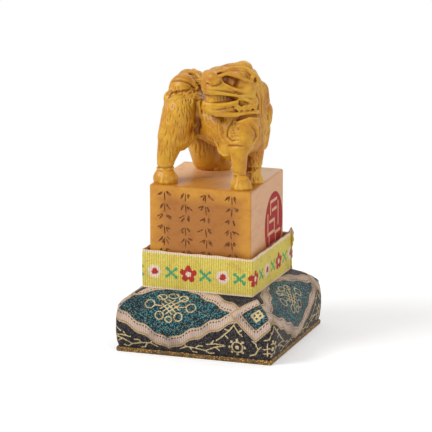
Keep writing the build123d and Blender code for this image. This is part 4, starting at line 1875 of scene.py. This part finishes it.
@dataclass
class BrocadePlinth:
    """The four padded brocade covers of the plinth."""

    base: float = 2.1
    rise: float = 24.2
    foot_half: float = 34.2
    neck_half: float = 24.6
    flap: float = 6.5
    crown: float = 0.5
    corner: float = 2.6
    core_half: float = 24.05
    columns: int = 252
    rows: int = 118
    sim_columns: int = 60
    sim_rows: int = 36
    sim_scale: float = 0.02
    sim_frames: int = 20
    held_rows: int = 6
    pressure: float = 4.0
    most_growth: float = 3.0
    puff: float = 0.75
    lozenge: Spot = (26.5, 13.0)
    lozenge_height: float = 19.3
    small: Spot = (6.4, 6.1)
    small_offset: float = 38.8
    outline: tuple[Spot, ...] = (
        (1.00, 0.000), (1.055, 0.09), (1.09, 0.22), (1.10, 0.35), (1.09, 0.50), (1.07, 0.60),
        (1.045, 0.68), (1.01, 0.74), (0.93, 0.785), (0.82, 0.825), (0.66, 0.868), (0.48, 0.912),
        (0.30, 0.95), (0.12, 0.982), (0.00, 1.000),
    )

    def section(self, share: Array) -> tuple[Array, Array, Array]:
        """The padding's section by its length.

        Args:
            share: How far along the section, from 0 at the foot to 1 under the tray.

        Returns:
            How far out, how high and how far along in millimetres each place is.
        """
        spread = self.foot_half - self.neck_half
        neck, top = self.neck_half, self.base + self.rise
        out = np.array([neck + spread * a for a, _ in self.outline] + [neck - self.flap])
        high = np.array([self.base + self.rise * b for _, b in self.outline] + [top])
        run = np.concatenate([[0], np.cumsum(np.hypot(np.diff(out), np.diff(high)))])
        at = share * run[-1]
        return np.interp(at, run, out), np.interp(at, run, high), at

    def skin(self, columns: int, rows: int, name: str) -> tuple[Piece, Array]:
        """One cover's outer skin, as a grid in millimetres.

        Args:
            columns: Faces along it.
            rows: Faces up it.
            name: Its name.

        Returns:
            The grid, and each vertex's place on the flat cloth.
        """
        skin, share, up = Tools.grid(name, columns, rows)
        out, high, run = self.section(up)
        round_off = self.corner * np.clip((28.5 - high) / 6, 0.15, 1.0)
        straight = out - round_off
        arc = round_off * pi / 4
        along = (2 * share - 1) * (straight + arc)
        flat_part = np.clip(along, -straight, straight)
        angle = (along - flat_part) / np.maximum(round_off, 1e-6)
        x = flat_part + round_off * np.sin(angle)
        swell = self.crown * (1 - np.abs(x) / 36.2) * np.clip((high - self.base) / 2, 0, 1)
        outward = straight + round_off * np.cos(angle) + swell * np.clip((27 - high) / 4, 0, 1)
        Tools.move_to(skin, np.stack([x, -outward, high], axis=1))
        return skin, np.stack([along, run], axis=1)

    def puffed(self) -> Array:
        """Blows up one cover as cloth and reads how far each place moved, in millimetres.

        Returns:
            Moves on a grid of rows by columns, with each move's X, Y and Z.
        """
        columns, rows = self.sim_columns, self.sim_rows
        shape = (rows + 1, columns + 1, 3)
        cover, _ = self.skin(columns, rows, "cover_cloth")
        scale = self.sim_scale
        start = Tools.places(cover)
        Tools.move_to(cover, start * scale)
        edge = cover.vertex_groups.new(name="seams")
        row, column = np.divmod(np.arange(len(start)), columns + 1)
        rim = (row == 0) | (row >= rows - self.held_rows) | (column == 0) | (column == columns)
        edge.add([int(i) for i in np.flatnonzero(rim)], 1.0, "REPLACE")
        Tools.only(cover)
        cloth = cover.modifiers.new("cloth", "CLOTH")
        cloth.settings.vertex_group_mass = edge.name
        cloth.settings.use_pressure = True
        hand = -1 if self.faces_inward(cover) else 1
        cloth.settings.uniform_pressure_force = hand * self.pressure
        cloth.settings.effector_weights.gravity = 0.0
        cloth.settings.tension_stiffness = 12.0
        cloth.settings.bending_stiffness = 1.5
        scene = bpy.context.scene
        for step in range(1, self.sim_frames + 1):
            scene.frame_set(step)
        bpy.ops.object.modifier_apply(modifier=cloth.name)
        moved = Tools.places(cover) / scale - start
        scene.frame_set(1)
        bpy.data.objects.remove(cover)
        size = np.linalg.norm(moved, axis=1)
        share = min(self.puff / max(float(size.max()), 1e-6), self.most_growth)
        grid = np.zeros(shape)
        grid[row, column] = moved * share
        LOG.info("cover cloth: moved %.2f mm, kept %.2f mm", size.max(), size.max() * share)
        return grid

    @staticmethod
    def faces_inward(cover: Piece) -> bool:
        """Whether the cover's faces point towards the core."""
        return float(np.mean(Tools.facings(cover)[:, 1])) > 0

    def spread(self, moves: Array, columns: int, rows: int) -> Array:
        """The coarse grid's moves on a finer grid.

        Args:
            moves: Rows by columns of moves.
            columns: The finer grid's faces along.
            rows: Its faces up.

        Returns:
            One move for each of its vertices.
        """
        row, column = np.divmod(np.arange((columns + 1) * (rows + 1)), columns + 1)
        r = row / rows * (moves.shape[0] - 1)
        c = column / columns * (moves.shape[1] - 1)
        r0 = np.clip(np.floor(r).astype(int), 0, moves.shape[0] - 2)
        c0 = np.clip(np.floor(c).astype(int), 0, moves.shape[1] - 2)
        fr, fc = (r - r0)[:, None], (c - c0)[:, None]
        low = moves[r0, c0] * (1 - fc) + moves[r0, c0 + 1] * fc
        high = moves[r0 + 1, c0] * (1 - fc) + moves[r0 + 1, c0 + 1] * fc
        return low * (1 - fr) + high * fr

    def fields(self, side: Side, along: Array, up: Array) -> dict[str, Array]:
        """The pattern's fields on one cover.

        Args:
            side: Which cover.
            along: Each place along the cloth.
            up: Each place up the cloth.

        Returns:
            The place across the band, the reach inside a cell, and the reach inside gold.
        """
        middle = side.value[2]
        wide, tall = self.lozenge
        steps = 0.5 * np.sin(2 * pi * (np.abs(along - middle)) / 8.6 + 0.6)
        high = up - self.lozenge_height
        band_width = 5.4
        cell = np.full(along.shape, -9.0)
        band = np.full(along.shape, -9.0)
        period = 2 * self.small_offset
        offset = (along - middle + period / 2) % period - period / 2
        big = tall * (1 - np.abs(offset) / wide) - np.abs(high) + steps * np.sign(-high) * -1.0
        cell = np.maximum(cell, big)
        band = np.where((big < 0) & (big > -band_width), -big, band)
        beside = np.abs(offset) - self.small_offset
        slope = 0.9
        little = self.small[1] - np.abs(high) - np.abs(beside) * slope
        in_little = little > -band_width
        cell = np.where(in_little, np.where(little > 0, little, -9.0), cell)
        band = np.where(in_little, np.where(little > 0, -9.0, -little), band)
        knot = self.knot().at(middle, self.lozenge_height + 0.8)
        gold = knot.reach(along, up)
        small_x = middle + self.small_offset * (1 if side is Side.FRONT else -1)
        cross = (((-1.2, -1.2), (1.2, 1.2)), ((-1.2, 1.2), (1.2, -1.2)), ring(0, 0, 2.6, 1.0, 4))
        check = Figure(lines=cross, line_width=0.9)
        gold = np.maximum(gold, check.at(small_x, self.lozenge_height).reach(along, up))
        ground = self.branches(middle)
        gold = np.maximum(gold, np.where((cell < 0) & (band < -1), ground.reach(along, up), -9.0))
        return {BAND: band, CELL: cell, GOLD: gold}

    @staticmethod
    def knot() -> Figure:
        """An endless knot with a ring on each side, drawn in gold about its own middle.

        Returns:
            The figure.
        """
        lattice = []
        for step in (-1.3, 0.0, 1.3):
            lattice.append(((step - 2.6, 0.85 * (step + 2.6)), (step + 2.6, 0.85 * (step - 2.6))))
            lattice.append(((step - 2.6, -0.85 * (step + 2.6)), (step + 2.6, 0.85 * (2.6 - step))))
        lines = (
            *lattice,
            ((-7.1, 0.4), (-3.9, 0.0)), ((7.1, 0.4), (3.9, 0.0)),
            ((-6.4, 5.2), (-3.6, 3.2), (-1.3, 1.1)), ((6.4, 5.2), (3.6, 3.2), (1.3, 1.1)),
            ring(-9.2, 0.5, 2.1, 0.95), ring(9.2, 0.3, 2.1, 0.95),
            ring(-4.2, -4.2, 1.9, 0.9), ring(4.2, -4.2, 1.9, 0.9), ring(0.0, -5.6, 1.5, 0.8),
            ring(-4.8, 4.6, 2.0, 0.7), ring(4.8, 4.6, 2.0, 0.7), ring(0.0, 5.6, 2.2, 0.6),
        )
        return Figure(lines=lines, line_width=0.52)

    @staticmethod
    def branches(middle: float) -> Figure:
        """Scrolling branches, leaves and ringed flowers for the ground below the band.

        Args:
            middle: The middle of the lozenge that they lie round.

        Returns:
            The figure.
        """
        strokes = (
            ((5.0, 1.9), (8.1, 3.3), (12.0, 3.0), (16.4, 2.1), (20.8, 4.3), (25.3, 5.2)),
            ((17.0, 5.2), (20.8, 5.8), (24.7, 5.5)),
            ((29.1, 14.8), (27.2, 12.1), (23.4, 8.8), (21.5, 7.4)),
            ((29.1, 14.5), (31.0, 11.8), (32.9, 10.1)),
            ((8.1, 3.3), (7.0, 4.8)), ((9.6, 3.2), (10.6, 1.2), (12.4, 0.8)),
            ((12.0, 3.0), (13.6, 4.4), (15.2, 4.2)),
            ((16.4, 2.1), (18.2, 0.9), (20.2, 1.3)), ((20.8, 4.3), (22.6, 2.9)), ((19.0, 5.6), (20.2, 7.2)),
            ((27.2, 12.1), (25.4, 12.6)), ((25.2, 10.3), (26.6, 8.9)), ((31.0, 11.8), (32.6, 12.6)),
            ((36.0, 1.6), (38.4, 2.4), (39.6, 4.6), (38.8, 7.2), (37.2, 8.4)), ((39.6, 4.6), (41.0, 6.0)),
            ((41.8, 3.0), (45.6, 3.4)), ((42.0, 5.0), (45.4, 5.4)), ((43.6, 2.0), (43.8, 7.4)),
            ((42.2, 8.8), (44.6, 9.4), (45.6, 11.2)),
        )
        lines: list[tuple[Spot, ...]] = []
        discs: list[tuple[float, float, float]] = []
        for hand in (-1, 1):
            lines.extend(tuple((middle + hand * x, y) for x, y in stroke) for stroke in strokes)
            x, y = 30.6, 5.1
            lines.append(ring(middle + hand * x, y, 2.4, 1.0, 12))
            discs.append((middle + hand * x, y, 0.9))
            for turn in (2 * pi * k / 8 for k in range(8)):
                petal_x = middle + hand * (x + 3.4 * cos(turn))
                discs.append((petal_x, y + 3.3 * sin(turn), 0.6))
        return Figure(tuple(discs), tuple(lines), 0.55)

    def cover(self, side: Side, moves: Array) -> Piece:
        """Models one padded cover.

        Args:
            side: Which side it is on.
            moves: How the blown-up cloth moved.

        Returns:
            The cover, in metres.
        """
        name, turn, _, faded = side.value
        cover, flat = self.skin(self.columns, self.rows, f"plinth_cover_{name}")
        if turn % 180:
            moves = moves[:, ::-1] * (-1, 1, 1)
        spots = Tools.places(cover) + self.spread(moves, self.columns, self.rows)
        fields = self.fields(side, flat[:, 0], flat[:, 1])
        spots = self.creased(spots, flat, turn)
        relief = 0.1 * np.clip(fields[BAND] * 3, 0, 1) + 0.1 * np.clip(fields[GOLD] * 4 + 0.5, 0, 1)
        Tools.move_to(cover, spots)
        facing = Tools.facings(cover)
        if self.faces_inward(cover):
            facing = -facing
        inner_rows = flat[:, 1] < flat[:, 1].max() - self.flap
        Tools.move_to(cover, spots + facing * (relief * inner_rows)[:, None])
        for key, values in fields.items():
            Tools.attribute(cover, key, values)
        Tools.map_cloth(cover, flat)
        self.close_back(cover)
        cover.data.transform(Matrix.Scale(MM, 4) @ Matrix.Rotation(radians(turn), 4, "Z"))
        Tools.closed(cover, 0.000001)
        Tools.smooth(cover, 50)
        Tools.dressed(cover, BrocadeFinish(f"brocade_{name}", dull=faded).material())
        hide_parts(f"brocade_{name}", f"wadding_{name}")
        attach(cover, "stand")
        LOG.info("%s: %d faces", cover.name, len(cover.data.polygons))
        return cover

    def creased(self, spots: Array, flat: Array, turn: int) -> Array:
        """Pulls in the hip seams and puckers the cloth along them.

        Args:
            spots: Vertex places in millimetres.
            flat: Their places on the flat cloth; not used.
            turn: The side's turn, which sets its chances.

        Returns:
            The new places.
        """
        rng = np.random.default_rng(100 + turn)
        x, out, z = spots[:, 0], -spots[:, 1], spots[:, 2]
        from_hip = np.abs(out - np.abs(x)) * 0.7071
        slope = np.clip((z - 17.0) / 3.0, 0, 1) * np.clip((27.4 - z) / 1.2, 0, 1)
        groove = 0.75 * np.exp(-((from_hip / 0.8) ** 2)) * slope
        pucker = 0.16 * np.exp(-from_hip / 2.6) * np.sin(z * 2 * pi / 2.3 + rng.uniform(0, 6)) * slope
        waves = 0.13 * np.sin(x * 0.31 + rng.uniform(0, 6)) * np.sin(z * 0.42 + rng.uniform(0, 6))
        waves *= np.clip((z - 3.5) / 4, 0, 1) * np.clip((25 - z) / 3, 0, 1) * np.clip(from_hip / 4, 0, 1)
        moved = spots.copy()
        inward = groove - pucker - waves
        moved[:, 1] += inward
        moved[:, 0] -= np.sign(x) * groove * 0.7
        moved[:, 2] -= groove * 0.4
        return moved

    def close_back(self, cover: Piece) -> None:
        """Closes the skin with a flat back against the core.

        Args:
            cover: The cover's skin, in millimetres.
        """
        Tools.only(cover)
        bpy.ops.object.mode_set(mode="EDIT")
        bpy.ops.mesh.select_mode(type="EDGE")
        bpy.ops.mesh.select_all(action="DESELECT")
        bpy.ops.mesh.select_non_manifold()
        bpy.ops.mesh.extrude_edges_move()
        bpy.ops.object.mode_set(mode="OBJECT")
        chosen = np.zeros(len(cover.data.vertices), dtype=bool)
        cover.data.vertices.foreach_get("select", chosen)
        spots = Tools.places(cover)
        low = self.base + 0.02
        spots[chosen, 0] = np.clip(spots[chosen, 0], -self.core_half, self.core_half)
        spots[chosen, 1] = -self.core_half
        spots[chosen, 2] = np.clip(spots[chosen, 2], low, self.base + self.rise - 0.9)
        Tools.move_to(cover, spots)
        bpy.ops.object.mode_set(mode="EDIT")
        bpy.ops.mesh.edge_face_add()
        bpy.ops.object.mode_set(mode="OBJECT")

    def build(self) -> None:
        """Models and dresses the four covers, and dresses the core and wadding behind them."""
        moves = self.puffed()
        for side in Side:
            self.cover(side, moves)
        board = BoardFinish("core_board", srgb(140, 124, 98), srgb(168, 150, 120)).material()
        wadding = BoardFinish("cotton_wadding", srgb(228, 224, 214), srgb(240, 238, 232), 400.0).material()
        for name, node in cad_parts.items():
            if name.startswith(("core_", "wadding_", "brocade_")):
                Tools.dressed(node, board if name.startswith("core_") else wadding)


@dataclass
class EdgedBoard:
    """The base board's woven metallic edging, and the finishes of the board and its paper."""

    half: float = 34.25
    corner: float = 0.5
    thick: float = 0.3
    columns: int = 1100
    rows: int = 22
    top_width: float = 6.6
    foot_width: float = 5.6

    def profile(self, share: Array, up: Array) -> tuple[Array, Array]:
        """How far out and how high the edging's outer face runs, foot flange to top flange.

        Args:
            share: How far round, from 0 to 1.
            up: How far from the foot flange to the top flange, from 0 to 1.

        Returns:
            How far out and how high each place is.
        """
        folds = (0.0, 0.30, 0.38, 0.5, 0.62, 0.70, 1.0)
        out = np.interp(up, folds, (-self.foot_width, 0.05, 0.38, 0.48, 0.38, 0.05, -self.top_width))
        high = np.interp(up, folds, (0.0, 0.0, 0.42, 1.05, 1.68, 2.1, 2.1))
        run = share * (8 * self.half) * 2 * pi
        rim = np.exp(-(((up - 0.5) / 0.17) ** 4))
        braid = np.sin(run / 1.1 + up * 26) * np.sin(run / 1.7 - up * 19)
        lumps = 0.5 * np.sin(run / 13.7 + 1) + 0.5 * np.sin(run / 5.9)
        return out + rim * (0.1 * braid + 0.07 * lumps), high

    def build(self) -> None:
        """Models and dresses the edging, and dresses the board and paper."""
        strip = LoopStrip(self.half, self.corner, self.columns, self.rows)
        edging, _ = strip.wind("woven_edging", self.profile)
        Tools.closed(edging)
        Tools.modifier(edging, "SOLIDIFY", thickness=self.thick * MM, offset=-1.0)
        Tools.smooth(edging, 60)
        Tools.dressed(edging, MetalThreadFinish().material())
        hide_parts("gold_edging")
        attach(edging, "stand")
        LOG.info("edging: %d faces", len(edging.data.polygons))
        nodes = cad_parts
        for name, body, fleck in (
            ("base_board", srgb(128, 112, 88), srgb(156, 138, 110)),
            ("underside_paper", srgb(96, 78, 58), srgb(124, 104, 80)),
        ):
            Tools.dressed(nodes[name], BoardFinish(name + "_stock", body, fleck).material())


def dress_seal_nodes() -> None:
    """Gives the seal's remaining nodes their finishes."""
    Tools.dressed(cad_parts["oval_cinnabar_fill"], PasteFinish().material())
    LOG.info("oval paste dressed")


@dataclass
class Studio:
    """The pale floor, the soft lamps and the camera."""

    azimuth: float = 19.0
    elevation: float = 13.95
    distance: float = 1.576
    target: Point = (0.0, 0.0, 0.060)
    lens: float = 308.75
    shift: Spot = (-3.7 / 432, -14.7 / 432)
    ambient: float = 0.42

    def build(self) -> None:
        """Sets up everything that isn't the object."""
        self.floor()
        self.world()
        self.lamp("key", (-0.45, -0.40, 0.60), 0.34, 3.9)
        self.lamp("fill", (0.66, -0.34, 0.34), 0.4, 1.5)
        self.lamp("back", (0.1, 0.6, 0.55), 0.45, 1.2)
        self.camera()
        bpy.context.scene.view_settings.view_transform = "Standard"
        LOG.info("studio ready")

    def camera(self) -> None:
        """Places the camera as the photograph's was."""
        a, e = radians(self.azimuth), radians(self.elevation)
        back = Vector((sin(a) * cos(e), -cos(a) * cos(e), sin(e)))
        data = bpy.data.cameras.new("camera")
        data.lens = self.lens
        data.sensor_width = 36.0
        data.sensor_fit = "HORIZONTAL"
        data.shift_x, data.shift_y = self.shift
        data.clip_start, data.clip_end = 0.05, 20.0
        place = Vector(self.target) + back * self.distance
        bpy.context.scene.camera = self.hung(data, place, back)

    @staticmethod
    def hung(data: bpy.types.ID, place: Vector, back: Vector) -> Piece:
        """Hangs a lamp or camera at a place.

        Args:
            data: The lamp's or camera's own settings.
            place: Where it hangs, in metres.
            back: Which way its back faces.

        Returns:
            Its object.
        """
        hung = bpy.data.objects.new(data.name, data)
        bpy.context.scene.collection.objects.link(hung)
        hung.location = place
        hung.rotation_euler = back.to_track_quat("Z", "Y").to_euler()
        return hung

    @staticmethod
    def lamp(name: str, place: Point, size: float, power: float) -> None:
        """Hangs one soft square lamp that looks at the object.

        Args:
            name: Its name.
            place: Where it hangs, in metres.
            size: Its side in metres.
            power: Its power in watts.
        """
        data = bpy.data.lights.new(name, "AREA")
        data.shape = "SQUARE"
        data.size = size
        data.energy = power
        Studio.hung(data, Vector(place), Vector(place) - Vector((0, 0, 0.06)))

    def world(self) -> None:
        """Lights the object evenly from all round, and shows white behind it."""
        world = bpy.data.worlds.new("studio")
        bpy.context.scene.world = world
        bench = Bench(world.name, world)
        strength = bench.seen() * (1.0 - self.ambient) + self.ambient
        bench.finish(Color=(1.0, 1.0, 1.0), Strength=strength)

    @staticmethod
    def floor() -> None:
        """Lays a pale floor that keeps the object's shadow and fades to white round it."""
        Tools.clear()
        bpy.ops.mesh.primitive_grid_add(x_subdivisions=8, y_subdivisions=8, size=6.0)
        floor = Tools.named("studio_floor")
        bench = Bench("studio_floor")
        seen = bench.seen()
        away = bench.node("VectorMath", {"operation": "LENGTH"}, {0: bench.place()}, "Value")
        glare = bench.mix(seen, (0.0, 0.0, 0.0), (1.0, 1.0, 1.0))
        pale = (0.84, 0.84, 0.84)
        bench.finish(Base_Color=pale, Roughness=0.9, Emission_Color=glare, Emission_Strength=0.3)
        lit = Signal(bench, bench.shader.outputs[0])
        glow = bench.node("Emission", {}, {"Strength": 1.0})
        faded = seen * away.rise(0.08, 0.26)
        mixed = bench.node("MixShader", {}, {0: faded, 1: lit, 2: glow})
        output = next(n for n in bench.tree.nodes if n.type == "OUTPUT_MATERIAL")
        bench.feed(output.inputs["Surface"], mixed)
        floor.data.materials.append(bench.material)


def main() -> None:
    """Builds the studio and every piece in order."""
    logging.basicConfig(level=logging.INFO, format="%(name)s: %(message)s")
    Tools.clear()
    Studio().build()
    EdgedBoard().build()
    BrocadePlinth().build()
    RibbonedTray().build()
    StoneBlock().build()
    GuardianLion().build()
    dress_seal_nodes()


if __name__ == "__main__":
    main()
